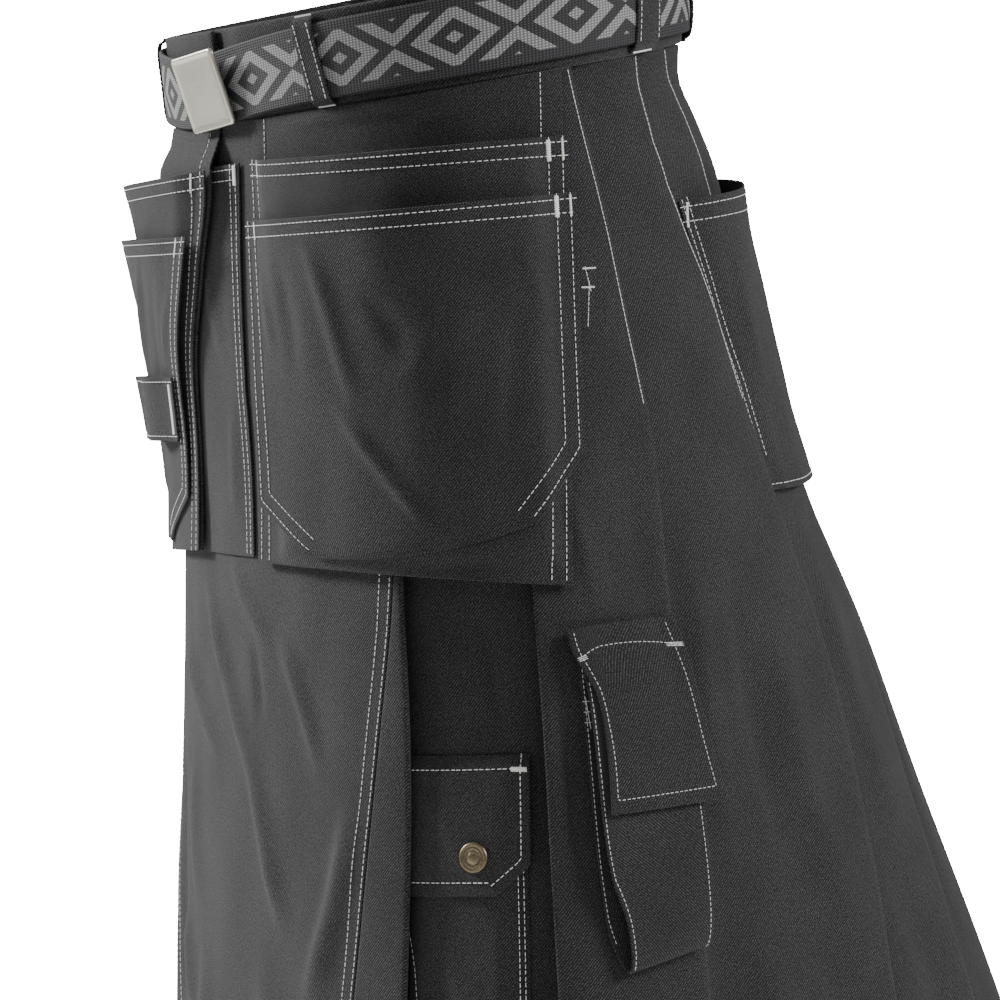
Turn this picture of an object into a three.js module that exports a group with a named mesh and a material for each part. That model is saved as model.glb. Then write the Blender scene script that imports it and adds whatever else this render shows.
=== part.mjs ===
// A worn utility kilt in heavy twill: waistband and webbing belt, flat front apron, a box pleat
// on each side, five knife pleats a side to the centre back, two hanging holsters, a cargo
// pocket, a hammer loop and two back pockets. Every piece of cloth is a thin closed wall.
// Millimetres, +Z up. The front faces -Y and the wearer's left is +X. The origin is the middle
// of the waist at half the belt's height. A point of the garment is given by its angle from the
// centre front (degrees, positive to the wearer's left), its drop below the origin down the
// cloth, and how far out it stands from the body's middle surface.
import * as THREE from 'three';

// Driving sizes
const CLOTH = 1.5; // skirt wall
const TRIM = 1.2; // pocket, flap and loop walls
const SEAM = 0.3; // space left between sewn pieces
const PITCH = 2.3; // middle of one pleat layer to the next where it lies flat
const HEM_DROP = 590;
const BAND = { top: -25, foot: 25, thick: 3.0, lap: 8, spans: 47 };
const BELT = { height: 40, thick: 2.5, stand: 3.1, sag: 7, sagSpread: 22 };
const BUCKLE = {
  wide: 44.5, high: 39.5, thick: 2.4, corner: 3, angle: 7.1, drop: 5.3, stand: 9.2, roll: 3.6,
  tilt: 9.5,
};
const SNAP = { radius: 7.5, thick: 2.6, angle: 58.5, drop: 402 };

// The waist is an ellipse that grows and moves back towards the hem
const RING_COLUMNS = { drop: 0, half: 1, front: 2, back: 3, lean: 4 };
const RINGS = [
  [-25, 164, 125, 113, 0.215],
  [0, 165, 121, 119, 0.21],
  [25, 167, 118, 119, 0.19],
  [40, 168.6, 117.4, 118, 0.17],
  [60, 171, 117, 130, 0.14],
  [80, 173.6, 116.2, 141.5, 0.11],
  [110, 177, 115, 150, 0.07],
  [160, 182, 112, 167, 0.03],
  [220, 188, 108, 193, 0.0],
  [300, 196, 106, 231, 0.0],
  [400, 206, 105, 268, 0.02],
  [500, 216, 105, 306, 0.05],
  [590, 225, 106, 338, 0.07],
];

// Fold edges of the left half, by drop: the box pleat's two edges, the width of the wedge
// strip before its front edge, and the knife pleats A to E
const EDGE_COLUMNS = { drop: 0, box: 1, wedge: 2, side: 3, A: 4, B: 5, C: 6, D: 7, E: 8 };
const EDGES = [
  [25, 46, 1.6, 76, 91.3, 111.8, 125.5, 140, 156],
  [45, 46, 1.6, 76, 93.1, 113.3, 129.6, 143, 158],
  [80, 46, 1.6, 76, 95.7, 113.8, 130.2, 145.5, 160.5],
  [100, 46, 1.6, 76, 97.3, 117.2, 132.8, 147.3, 162],
  [135, 46, 1.6, 75.8, 99.3, 122.8, 138.2, 151.5, 165.3],
  [190, 46, 1.6, 75.5, 102, 127.3, 145, 158, 170],
  [275, 46, 1.8, 75.5, 101.5, 129.8, 146, 159, 170.5],
  [345, 46, 6, 76.5, 101, 129.8, 146, 160, 171],
  [415, 44.8, 8.8, 77, 100.7, 128, 145, 159.5, 171],
  [472, 43.5, 11, 77.5, 100.5, 125.7, 143.5, 159, 171],
  [590, 41, 15, 78, 100, 123, 142, 158, 171],
];
const KNIFE_PLEATS = ['A', 'B', 'C', 'D', 'E'];
const SKIRT_DROPS = [BAND.foot, 41, 60, 80, 110, 160, 220, 275, 345, 450, HEM_DROP];

// Pleat layers: stitched flat to this drop, open below it
const PLEAT = {
  flatTo: 185, openBy: 560, depthTop: 7.5, depthHem: 12.5, lift: 5, sink: 9, least: 1.2, step: 1.6,
};
const BOX = { underTop: 5, under: 11, openFrom: 195, openBy: 330, floor: 12, sink: 5 };

const CLOTH_COLOUR = '#303033';
const WEBBING_COLOUR = '#3a3a3d';
const PLATE_COLOUR = '#c9c6b8';
const BRASS_COLOUR = '#75684c';

const kilt = new THREE.Group();

const ease = (x) => {
  const t = Math.min(1, Math.max(0, x));
  return t * t * (3 - 2 * t);
};
const mix = (a, b, t) => a + (b - a) * t;

// A smooth curve through one column of a table whose first column is the place
function curve(table, column, place) {
  const last = table.length - 1;
  const x = (i) => table[i][0];
  const y = (i) => table[i][column];
  const step = (i) => (y(i + 1) - y(i)) / (x(i + 1) - x(i));
  const slope = (i) => {
    if (i === 0) return step(0);
    if (i === last) return step(last - 1);
    const before = x(i) - x(i - 1);
    const after = x(i + 1) - x(i);
    return (before * step(i) + after * step(i - 1)) / (before + after);
  };
  let i = 0;
  while (i < last - 1 && place > x(i + 1)) i += 1;
  const span = x(i + 1) - x(i);
  const t = Math.min(1, Math.max(0, (place - x(i)) / span));
  const t2 = t * t;
  const t3 = t2 * t;
  return (2 * t3 - 3 * t2 + 1) * y(i) + (t3 - 2 * t2 + t) * span * slope(i)
    + (3 * t2 - 2 * t3) * y(i + 1) + (t3 - t2) * span * slope(i + 1);
}
const ring = (name, drop) => curve(RINGS, RING_COLUMNS[name], drop);
const edge = (name, drop) => curve(EDGES, EDGE_COLUMNS[name], drop);

// The point of the garment at an angle, drop and stand-off
function place(angle, drop, out) {
  const turn = THREE.MathUtils.degToRad(angle);
  const half = ring('half', drop);
  const deep = Math.cos(turn) > 0 ? ring('front', drop) : ring('back', drop);
  const normal = new THREE.Vector2(Math.sin(turn) / half, -Math.cos(turn) / deep).normalize();
  const x = half * Math.sin(turn) + out * normal.x;
  const y = -deep * Math.cos(turn) + out * normal.y;
  return new THREE.Vector3(x, y, -drop + ring('lean', drop) * y);
}

// Millimetres round the garment in one degree
function perDegree(angle, drop) {
  return place(angle + 0.5, drop, 0).distanceTo(place(angle - 0.5, drop, 0));
}

// A flat line of [along, out] pairs moved sideways by the given distance, with mitred corners
function beside(line, distance) {
  return line.map((point, i) => {
    const here = new THREE.Vector2(...point);
    const before = i > 0 ? new THREE.Vector2(...line[i - 1]) : null;
    const after = i < line.length - 1 ? new THREE.Vector2(...line[i + 1]) : null;
    const square = (from, to) => {
      const way = to.clone().sub(from).normalize();
      return new THREE.Vector2(-way.y, way.x);
    };
    const first = before ? square(before, here) : square(here, after);
    const second = after ? square(here, after) : first;
    const share = distance / Math.max(0.35, 1 + first.dot(second));
    return [point[0] + share * (first.x + second.x), point[1] + share * (first.y + second.y)];
  });
}

// One closed body from the outer and inner grids of a wall
function wall(outer, inner, closed = false) {
  const rows = outer.length;
  const columns = outer[0].length;
  const positions = [...outer.flat(), ...inner.flat()].flatMap((p) => [p.x, p.y, p.z]);
  const index = [];
  const at = (side, i, j) => side * rows * columns + i * columns + (j % columns);
  const quad = (a, b, c, d) => index.push(a, b, c, a, c, d);
  const spans = closed ? columns : columns - 1;
  for (let i = 0; i < rows - 1; i += 1) {
    for (let j = 0; j < spans; j += 1) {
      quad(at(0, i, j), at(0, i + 1, j), at(0, i + 1, j + 1), at(0, i, j + 1));
      quad(at(1, i, j), at(1, i, j + 1), at(1, i + 1, j + 1), at(1, i + 1, j));
    }
  }
  for (let j = 0; j < spans; j += 1) {
    quad(at(0, 0, j), at(0, 0, j + 1), at(1, 0, j + 1), at(1, 0, j));
    quad(at(0, rows - 1, j), at(1, rows - 1, j), at(1, rows - 1, j + 1), at(0, rows - 1, j + 1));
  }
  for (let i = 0; i < rows - 1 && !closed; i += 1) {
    quad(at(0, i, 0), at(1, i, 0), at(1, i + 1, 0), at(0, i + 1, 0));
    const end = columns - 1;
    quad(at(0, i, end), at(0, i + 1, end), at(1, i + 1, end), at(1, i, end));
  }
  const geometry = new THREE.BufferGeometry();
  geometry.setAttribute('position', new THREE.Float32BufferAttribute(positions, 3));
  geometry.setIndex(signedVolume(positions, index) < 0 ? turnedOver(index) : index);
  return geometry;
}

function signedVolume(positions, index) {
  const point = (k) => new THREE.Vector3().fromArray(positions, 3 * index[k]);
  let total = 0;
  for (let k = 0; k < index.length; k += 3) {
    total += point(k).dot(point(k + 1).cross(point(k + 2))) / 6;
  }
  return total;
}

function turnedOver(index) {
  return index.map((value, k) => (k % 3 === 0 ? value : index[k % 3 === 1 ? k + 1 : k - 1]));
}

function sew(name, geometry, color = CLOTH_COLOUR, roughness = 0.9, metalness = 0) {
  const material = new THREE.MeshStandardMaterial({ color, roughness, metalness });
  const mesh = new THREE.Mesh(geometry, material);
  mesh.name = name;
  kilt.add(mesh);
  return mesh;
}

// A folded cloth: pathOf(drop) gives its middle line as [angle, out] pairs
function pleated(drops, pathOf, side) {
  const grids = { outer: [], inner: [] };
  for (const drop of drops) {
    const path = pathOf(drop);
    const scale = path.map(([angle]) => perDegree(angle, drop));
    let along = 0;
    const line = path.map(([angle, out], i) => {
      if (i > 0) along += (angle - path[i - 1][0]) * (scale[i] + scale[i - 1]) / 2;
      return [along, out];
    });
    for (const [grid, distance] of [['outer', CLOTH / 2], ['inner', -CLOTH / 2]]) {
      grids[grid].push(beside(line, distance).map(([moved, out], i) => {
        const angle = path[i][0] + (moved - line[i][0]) / scale[i];
        return place(side * angle, drop, out);
      }));
    }
  }
  return wall(grids.outer, grids.inner);
}

// The three points of a fold whose edge is at an angle; way is the side that it points to
function fold(angle, out, rise, way, scale) {
  const back = way * PITCH / 2 / scale;
  return [[angle - back, out], [angle, out + rise / 2], [angle - back, out + rise]];
}

// The box pleat: wedge strip from the apron seam, front edge, return, floor
const boxUnder = (drop) => mix(BOX.underTop, BOX.under, ease((drop - BAND.foot) / 150));
const boxOpen = (drop) => ease((drop - BOX.openFrom) / (BOX.openBy - BOX.openFrom));
function boxPleat(drop) {
  const open = boxOpen(drop);
  const front = edge('box', drop);
  const rear = edge('side', drop);
  const scale = perDegree(front, drop);
  const seam = front - edge('wedge', drop) + SEAM / 2 / scale;
  const inside = front - BOX.under;
  const end = rear + boxUnder(drop);
  const sink = open * BOX.sink;
  const floor = -2 * PITCH - open * (BOX.floor - 2 * PITCH);
  return [
    [seam, 0],
    ...fold(front, 0, -PITCH, 1, scale),
    [mix(front, inside, 0.5), -PITCH - sink / 2],
    ...fold(inside, -PITCH - sink, -PITCH, -1, scale),
    [mix(inside, front, 0.5), floor],
    [front, floor],
    [mix(front, rear, 0.25), floor],
    [mix(front, rear, 0.5), floor],
    [mix(front, rear, 0.75), floor],
    [rear, floor],
    [mix(rear, end, 0.5), mix(floor, -2 * PITCH - sink, 0.4)],
    [end, -2 * PITCH - sink],
  ];
}

// Side and back: from inside the box pleat round its rear edge, then the knife pleats
const pleatOpen = (drop) => ease((drop - PLEAT.flatTo) / (PLEAT.openBy - PLEAT.flatTo));
function pleatedSide(drop) {
  const open = pleatOpen(drop);
  const depth = mix(PLEAT.depthTop, PLEAT.depthHem, ease((drop - BAND.foot) / 300));
  const rear = edge('side', drop);
  const under = boxUnder(drop);
  const sink = boxOpen(drop) * BOX.sink;
  const path = [
    [rear + under, -PITCH - sink],
    [rear + under / 2, -PITCH - sink / 2],
    ...fold(rear, -PITCH, PITCH, -1, perDegree(rear, drop)),
  ];
  let from = rear + 1;
  let low = 0;
  for (const name of KNIFE_PLEATS) {
    const to = edge(name, drop);
    const scale = perDegree(to, drop);
    const high = open * PLEAT.lift;
    const inside = to - Math.min(depth, to - from - PLEAT.least);
    const face = (angle) => mix(low, high, (angle - from) / (to - from));
    path.push([mix(from, inside, 0.5), face(mix(from, inside, 0.5))], [inside, face(inside)]);
    path.push(...fold(to, high, -PITCH, 1, scale));
    path.push(...fold(inside, face(inside) - PITCH, -PITCH, -1, scale));
    path.push([to, high - 2 * PITCH]);
    low = high - 2 * PITCH - open * PLEAT.sink;
    from = to + PLEAT.step;
    path.push([from, low]);
  }
  const centre = 180 - SEAM / 2 / perDegree(180, drop);
  path.push([mix(from, centre, 0.5), low], [centre, low]);
  return path;
}

// A patch: rows of [down, left, right, dropLeft, dropRight] are its outline, down from 0 at
// its top to 1 at its foot; bow lowers the middle of its foot; lift is its inner face's
// stand-off, and turn moves an angle and drop to where the patch hangs
const stay = (angle, drop) => [angle, drop];
function patch({ rows, columns, lines, lift, thick = TRIM, bow = 0, extra = [], turn = stay }) {
  const grids = { outer: [], inner: [] };
  const even = Array.from({ length: lines + 1 }, (_, i) => i / lines);
  const set = new Set([...even, ...extra, ...rows.map((row) => row[0])]);
  const downs = [...set].sort((a, b) => a - b);
  const straight = (column, down) => {
    let i = 0;
    while (i < rows.length - 2 && down > rows[i + 1][0]) i += 1;
    const share = (down - rows[i][0]) / (rows[i + 1][0] - rows[i][0]);
    return mix(rows[i][column], rows[i + 1][column], share);
  };
  for (const down of downs) {
    const outer = [];
    const inner = [];
    for (let j = 0; j <= columns; j += 1) {
      const across = j / columns;
      const angle = mix(straight(1, down), straight(2, down), across);
      const bowed = 4 * bow * across * (1 - across) * down ** 3;
      const drop = mix(straight(3, down), straight(4, down), across) + bowed;
      const out = lift(angle, drop, across, down);
      const at = turn(angle, drop);
      outer.push(place(...at, out + thick));
      inner.push(place(...at, out));
    }
    grids.outer.push(outer);
    grids.inner.push(inner);
  }
  return wall(grids.outer, grids.inner);
}

// A strap: its middle line runs in rows of [drop, out, left, right, tilt], where tilt is how
// much higher its right edge is, and ground is the stand-off of the cloth that it hangs on
function strap(rows, columns, thick, ground = () => 0) {
  const line = rows.map(([drop, out]) => [drop, out]);
  const grids = [beside(line, thick / 2), beside(line, -thick / 2)].map((moved) => (
    moved.map(([drop, out], i) => Array.from({ length: columns + 1 }, (_, j) => {
      const [, , left, right, tilt = 0] = rows[i];
      const angle = mix(left, right, j / columns);
      const low = drop - tilt * j / columns;
      return place(angle, low, out + ground(angle, low));
    }))
  ));
  return wall(grids[0], grids[1]);
}

// Waistband: one strip round the waist, its right end under its left end at the front
function waistband() {
  const under = -(BAND.thick + SEAM);
  const step = (360 + 2 * BAND.lap) / BAND.spans;
  const angles = Array.from({ length: BAND.spans + 1 }, (_, i) => i * step - BAND.lap);
  const outAt = (angle) => under * (1 - ease((angle - BAND.lap - 1) / 8));
  const drops = [BAND.top, 0, BAND.foot - SEAM];
  const grid = (shift) => drops.map((drop) => (
    angles.map((angle) => place(angle, drop, outAt(angle) + shift))
  ));
  return wall(grid(BAND.thick / 2), grid(-BAND.thick / 2));
}

// Belt: a closed ring of webbing that sags a little at the front
const beltDrop = (angle) => {
  const off = ((angle + 180) % 360 + 360) % 360 - 180;
  return BELT.sag * Math.exp(-((off / BELT.sagSpread) ** 2));
};
function belt() {
  const turns = 72;
  const grid = (out) => [-BELT.height / 2, 0, BELT.height / 2].map((drop) => (
    Array.from({ length: turns }, (_, j) => {
      const angle = 360 * j / turns;
      return place(angle, drop + beltDrop(angle), out);
    })
  ));
  return wall(grid(BELT.stand + BELT.thick), grid(BELT.stand), true);
}

// A plate or disc placed on the cloth, facing straight out from it
function stand(mesh, angle, drop, out, roll = 0, tilt = 0) {
  const origin = place(angle, drop, out);
  const up = place(angle, drop - 1, out).sub(place(angle, drop + 1, out)).normalize();
  const across = place(angle + 1, drop, out).sub(place(angle - 1, drop, out)).normalize();
  const facing = across.clone().cross(up).normalize();
  const level = up.clone().cross(facing);
  mesh.quaternion.setFromRotationMatrix(new THREE.Matrix4().makeBasis(level, up, facing));
  mesh.rotateZ(THREE.MathUtils.degToRad(roll));
  mesh.rotateX(THREE.MathUtils.degToRad(tilt));
  mesh.position.copy(origin);
}

function plateOutline({ wide, high, corner }) {
  const shape = new THREE.Shape();
  const x = wide / 2 - corner;
  const y = high / 2 - corner;
  shape.absarc(x, y, corner, 0, Math.PI / 2);
  shape.absarc(-x, y, corner, Math.PI / 2, Math.PI);
  shape.absarc(-x, -y, corner, Math.PI, 1.5 * Math.PI);
  shape.absarc(x, -y, corner, 1.5 * Math.PI, 2 * Math.PI);
  return shape;
}

// Waist
sew('waistband', waistband());
sew('belt_webbing', belt(), WEBBING_COLOUR);
const plate = new THREE.ExtrudeGeometry(plateOutline(BUCKLE), {
  depth: BUCKLE.thick, bevelEnabled: false, curveSegments: 4,
});
const buckle = sew('belt_buckle', plate, PLATE_COLOUR, 0.35, 1);
stand(buckle, BUCKLE.angle, BUCKLE.drop, BUCKLE.stand, BUCKLE.roll, BUCKLE.tilt);

// Belt loops: columns are name, angle, width in degrees, slant in degrees
const LOOPS = [
  ['front', 35.5, 4.6, 3],
  ['side', 113, 8.6, -2],
  ['rear', 150, 17, 0],
];
const LOOP = { end: 24.6, bend: 23.2, over: 21.6, foot: 2.4, crown: 6.7 };
for (const [name, angle, wide, slant] of LOOPS) {
  for (const [word, side] of [['left', 1], ['right', -1]]) {
    const line = [
      [-LOOP.end, LOOP.foot], [-LOOP.bend, LOOP.foot], [-LOOP.over, LOOP.crown],
      [0, LOOP.crown], [LOOP.over, LOOP.crown], [LOOP.bend, LOOP.foot],
      [LOOP.end, LOOP.foot],
    ];
    const rows = line.map(([drop, out]) => {
      const middle = side * (angle + slant * drop / 50);
      return [drop, out, middle - wide / 2, middle + wide / 2];
    });
    sew(`belt_loop_${name}_${word}`, strap(rows, name === 'rear' ? 3 : 2, TRIM));
  }
}

// Skirt: apron between the two box pleats, then the pleated sides
const APRON_COLUMNS = 22;
function apron() {
  const grid = (out) => SKIRT_DROPS.map((drop) => {
    const seam = edge('box', drop) - edge('wedge', drop);
    const reach = seam - SEAM / 2 / perDegree(seam, drop);
    return Array.from({ length: APRON_COLUMNS + 1 }, (_, j) => (
      place(mix(-reach, reach, j / APRON_COLUMNS), drop, out)
    ));
  });
  return wall(grid(CLOTH / 2), grid(-CLOTH / 2));
}
sew('apron', apron());
for (const [word, side] of [['left', 1], ['right', -1]]) {
  sew(`box_pleat_${word}`, pleated(SKIRT_DROPS, boxPleat, side));
  sew(`pleated_side_${word}`, pleated(SKIRT_DROPS, pleatedSide, side));
}

// Holsters: a panel from the waistband seam, a pocket on it and an outer pocket on that one.
// Their outlines are the left holster's; the right one is mirrored, swung towards the centre
// and hangs lower. Columns of SWING are drop, degrees towards the centre, and how much lower
const HOLSTER = {
  panel: [[0, 17, 88.5, 25.3, 25.3], [1, 13.3, 84.5, 266, 273]],
  pocket: [[0, 17, 89, 48.5, 57.5], [1, 13.3, 84.5, 266, 273]],
  outer: [[0, 17.8, 89.6, 85, 85], [0.8, 17, 88.9, 236, 208], [1, 29, 77, 262, 243]],
  outerBow: 6,
};
const SWING = [[25, 23, 0], [56, 23.5, 4], [106, 17.5, 7], [150, 11, 7], [208, 7, 2],
  [273, 4.5, -4]];
// A strap tacked down at three angles, with a loop between each two
const TOOL_LOOP = { from: 19.5, tack: 39, to: 63, top: 165, foot: 204, high: 7.5 };
const HANG = { rest: 1.25, foot: 2.2, edge: 3.5, slack: 0.4 };
const POCKET_SPAN = { left: 15.2, right: 86.8, top: 55, foot: 271 };
const OUTER_SPAN = { left: 17.4, right: 89.2, top: 85, foot: 251 };
const RIGHT_STAND = { mouth: 7, foot: 1.4 };
const swung = (angle, drop) => [
  -angle + curve(SWING, 1, drop), drop + curve(SWING, 2, drop),
];
const holsters = [
  {
    word: 'left',
    gape: 9,
    fall: 1.4,
    outerGape: 13,
    ledge: [4.6, 4.6],
    loose: 0,
    stand: () => 0,
    turn: stay,
  },
  {
    word: 'right',
    gape: 12.5,
    fall: 5,
    outerGape: 6,
    ledge: [4.6, 0.5],
    loose: 0.3,
    stand: (drop) => mix(RIGHT_STAND.mouth, RIGHT_STAND.foot, ease((drop - 80) / 150))
      * ease((drop - 29) / 20),
    turn: swung,
  },
];
const hang = (drop) => HANG.rest + HANG.foot * (drop / 273) ** 2;
// How a pocket stands off what it is sewn to: a ledge inside its edges, and its gaping mouth
function pocketStand(angle, drop, { gape, fall, ledge }, ledgeAt) {
  const { left, right, top, foot } = POCKET_SPAN;
  const across = Math.max(0, Math.min(1, (angle - left) / (right - left)));
  const down = Math.max(0, Math.min(1, (drop - top) / (foot - top)));
  const mouth = gape * Math.sin(Math.PI * across) * (1 - down) ** fall;
  return mix(ledge[0], ledge[1], ease(down * 1.6 - 0.4)) * ledgeAt(across, down) + mouth;
}
const rimmed = (across, down) => Math.min(
  ease((1 - Math.abs(2 * across - 1)) * 36 / HANG.edge), ease((1 - down) * 36),
);
for (const holster of holsters) {
  const { word, turn } = holster;
  const panelLift = (angle, drop) => hang(drop) + holster.stand(drop);
  const pocketBase = (angle, drop) => panelLift(angle, drop) + TRIM + SEAM + holster.loose;
  const pocketLift = (angle, drop) => (
    pocketBase(angle, drop) + pocketStand(angle, drop, holster, rimmed)
  );
  const overPocket = (angle, drop) => (
    pocketBase(angle, drop) + TRIM + SEAM + HANG.slack
      + pocketStand(angle, drop, holster, () => 1)
  );
  const outerLift = (angle, drop, across, down) => (
    overPocket(angle, drop) + holster.outerGape * Math.sin(Math.PI * across) * (1 - down) ** 1.3
  );
  sew(`holster_${word}_panel`, patch({
    rows: HOLSTER.panel, columns: 14, lines: 6, lift: panelLift, turn, extra: [0.09],
  }));
  sew(`holster_${word}_pocket`, patch({
    rows: HOLSTER.pocket, columns: 16, lines: 6, lift: pocketLift, turn, extra: [0.96],
  }));
  sew(`holster_${word}_outer_pocket`, patch({
    rows: HOLSTER.outer,
    bow: HOLSTER.outerBow,
    columns: 16,
    lines: 5,
    lift: outerLift,
    turn,
    extra: [0.85, 0.9, 0.95],
  }));
  if (word === 'right') {
    const overOuter = (angle, drop) => {
      const { left, right, top, foot } = OUTER_SPAN;
      const across = (angle - left) / (right - left);
      return outerLift(angle, drop, across, (drop - top) / (foot - top)) + TRIM + SEAM;
    };
    const bulge = (angle) => {
      const { from, tack, to, high } = TOOL_LOOP;
      const share = angle < tack ? (angle - from) / (tack - from) : (angle - tack) / (to - tack);
      return high * Math.sin(Math.PI * Math.min(1, Math.max(0, share))) ** 2;
    };
    sew('holster_right_tool_loop', patch({
      rows: [
        [0, TOOL_LOOP.from, TOOL_LOOP.to, TOOL_LOOP.top, TOOL_LOOP.top],
        [1, TOOL_LOOP.from, TOOL_LOOP.to, TOOL_LOOP.foot, TOOL_LOOP.foot],
      ],
      columns: 18,
      lines: 2,
      thick: CLOTH,
      turn,
      lift: (angle, drop) => overOuter(angle, drop) + SEAM + HANG.slack + bulge(angle),
    }));
  }
}

// Inner pocket on the apron, behind the right holster
const INNER_GAPE = 5.4;
sew('front_inner_pocket', patch({
  rows: [[0, -30, 12.2, 52, 50], [0.3, -30, 11.2, 117, 117], [0.6, -30, 9.8, 180, 180],
    [1, -30, 9.8, 262, 264]],
  columns: 9,
  lines: 4,
  lift: (angle, drop, across, down) => (
    HANG.rest + INNER_GAPE * Math.sin(Math.PI * across) ** 0.7 * (1 - down) ** 1.2
  ),
}));

// Cargo pocket on the left box pleat's floor
const FLOOR_FACE = -BOX.floor + CLOTH / 2 + SEAM;
const CARGO_STAND = 2.6;
const cargoStand = (across, down) => (
  CARGO_STAND * ease(Math.sin(Math.PI * across) * 2.2) * ease((1 - down) * 8)
);
sew('cargo_pocket_left', patch({
  rows: [[0, 43.5, 71, 366, 366], [1, 40, 69, 548, 548]],
  columns: 10,
  lines: 4,
  lift: (angle, drop, across, down) => FLOOR_FACE + cargoStand(across, down),
  extra: [0.94],
}));
const FLAP_LIFT = FLOOR_FACE + CARGO_STAND + TRIM + SEAM + HANG.slack;
sew('cargo_flap_left', patch({
  rows: [[0, 43.5, 72.5, 356, 353], [0.78, 43.1, 71.6, 408, 405], [1, 43, 63, 422, 420]],
  columns: 8,
  lines: 2,
  extra: [0.12],
  lift: (angle, drop, across, down) => mix(FLOOR_FACE, FLAP_LIFT, ease(down * 8)),
}));
const disc = new THREE.LatheGeometry([
  new THREE.Vector2(0, 0),
  new THREE.Vector2(SNAP.radius, 0),
  new THREE.Vector2(SNAP.radius, SNAP.thick * 0.55),
  new THREE.Vector2(SNAP.radius * 0.82, SNAP.thick),
  new THREE.Vector2(0, SNAP.thick * 0.8),
], 20).rotateX(Math.PI / 2);
const snap = sew('cargo_snap_left', disc, BRASS_COLOUR, 0.45, 1);
stand(snap, SNAP.angle, SNAP.drop, FLAP_LIFT + TRIM + SEAM);

// Hammer loop: a strap that hangs down the side panel and turns up again, and its flap.
// Columns are drop, out, the strap's two edges, and its tilt
const LOOP_STRAP = [
  [304, 1.9, 85.4, 100.4, 4],
  [350, 2.0, 87, 100.4, 5],
  [400, 2.4, 87.9, 100.2, 7],
  [424, 2.6, 89.1, 100, 8],
  [446, 2.8, 90.4, 99.8, 9],
  [459, 6.6, 91.5, 100, 10],
  [448, 11.6, 91.5, 100.2, 10],
  [426, 12.4, 90.9, 100.4, 9],
  [400, 12.8, 88.3, 100.5, 8],
  [350, 11.8, 87.3, 100.5, 6],
  [322, 9, 86.6, 100.5, 5],
  [309, 5, 85.6, 100.4, 4],
];
const sideFace = (angle, drop) => {
  const from = edge('side', drop) + 1;
  const share = (angle - from) / (edge('A', drop) - from);
  return pleatOpen(drop) * PLEAT.lift * Math.min(1, Math.max(0, share));
};
sew('hammer_loop_left', strap(LOOP_STRAP, 4, CLOTH, sideFace));
const FLAP = [
  [294, 4.6, 82.6, 100.8, 6],
  [304, 7.4, 83.2, 101.2, 6],
  [314, 9.8, 86, 101.4, 6],
  [326, 12, 88.6, 101.6, 6],
  [352, 14.6, 89.4, 102, 5.5],
  [381, 16.4, 89.2, 103, 5],
];
sew('hammer_flap_left', strap(FLAP, 4, CLOTH, sideFace));

// Back pockets: patches over the pleats behind the hips, mirrored. The front edge of each lies
// beside the second knife pleat's fold, lower than it
const BACK_POCKET = { rest: 1.25, under: -3.2, stand: 3, gape: 8 };
for (const [word, side] of [['left', 1], ['right', -1]]) {
  sew(`back_pocket_${word}`, patch({
    rows: [[0, 118.8, 163, 94, 86], [0.3, 123.6, 164.5, 135.5, 128], [0.62, 127.8, 165.5, 180, 175],
      [0.88, 128.8, 164.5, 215, 209], [1, 130.5, 156.5, 230, 222]],
    columns: 14,
    lines: 5,
    extra: [0.12],
    lift: (angle, drop, across, down) => {
      const { rest, under, stand: full, gape } = BACK_POCKET;
      const bell = Math.sin(Math.PI * across);
      return mix(under, rest, ease(across * 3)) + full * ease(bell * 2.5)
        + gape * bell * (1 - down) ** 1.2;
    },
    turn: (angle, drop) => [side * angle, drop],
  }));
}

export default kilt;
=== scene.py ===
"""A worn utility kilt in charcoal twill: webbing belt, hanging holster pockets, box pleats and
knife pleats.

A place on the garment is an angle from the centre front in degrees (to the wearer's left), a drop
down the cloth from the belt's middle and a distance out from the body form, both in millimetres.
"""

import bpy
import numpy as np
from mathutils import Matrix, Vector


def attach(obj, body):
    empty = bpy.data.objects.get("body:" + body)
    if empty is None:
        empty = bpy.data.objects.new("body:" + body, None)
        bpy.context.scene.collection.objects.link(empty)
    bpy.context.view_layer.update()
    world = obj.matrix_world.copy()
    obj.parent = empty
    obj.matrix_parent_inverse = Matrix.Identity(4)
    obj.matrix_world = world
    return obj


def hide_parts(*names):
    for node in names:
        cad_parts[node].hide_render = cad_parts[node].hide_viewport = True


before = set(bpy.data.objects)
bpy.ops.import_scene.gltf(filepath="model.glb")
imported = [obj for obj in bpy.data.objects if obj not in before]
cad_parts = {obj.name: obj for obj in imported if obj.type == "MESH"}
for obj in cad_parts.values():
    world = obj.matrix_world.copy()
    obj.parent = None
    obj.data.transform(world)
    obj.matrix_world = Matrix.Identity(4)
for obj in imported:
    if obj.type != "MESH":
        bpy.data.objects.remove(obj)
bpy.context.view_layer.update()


# Waistband
# A doubled twill strip 50 mm high round the waist, its ends lapped at the centre front under
# the buckle. It gives the body form that every other piece is laid on.
MM = 0.001
RINGS = [  # drop, half width, front depth, back depth, forward lean
    (-25, 164, 125, 113, 0.215),
    (0, 165, 121, 119, 0.21),
    (25, 167, 118, 119, 0.19),
    (40, 168.6, 117.4, 118, 0.17),
    (60, 171, 117, 130, 0.14),
    (80, 173.6, 116.2, 141.5, 0.11),
    (110, 177, 115, 150, 0.07),
    (160, 182, 112, 167, 0.03),
    (220, 188, 108, 193, 0.0),
    (300, 196, 106, 231, 0.0),
    (400, 206, 105, 268, 0.02),
    (500, 216, 105, 306, 0.05),
    (590, 225, 106, 338, 0.07),
]
WAIST_TOP, WAIST_FOOT, HEM_DROP = -25.0, 25.0, 590.0
SEAM = 0.3
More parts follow.
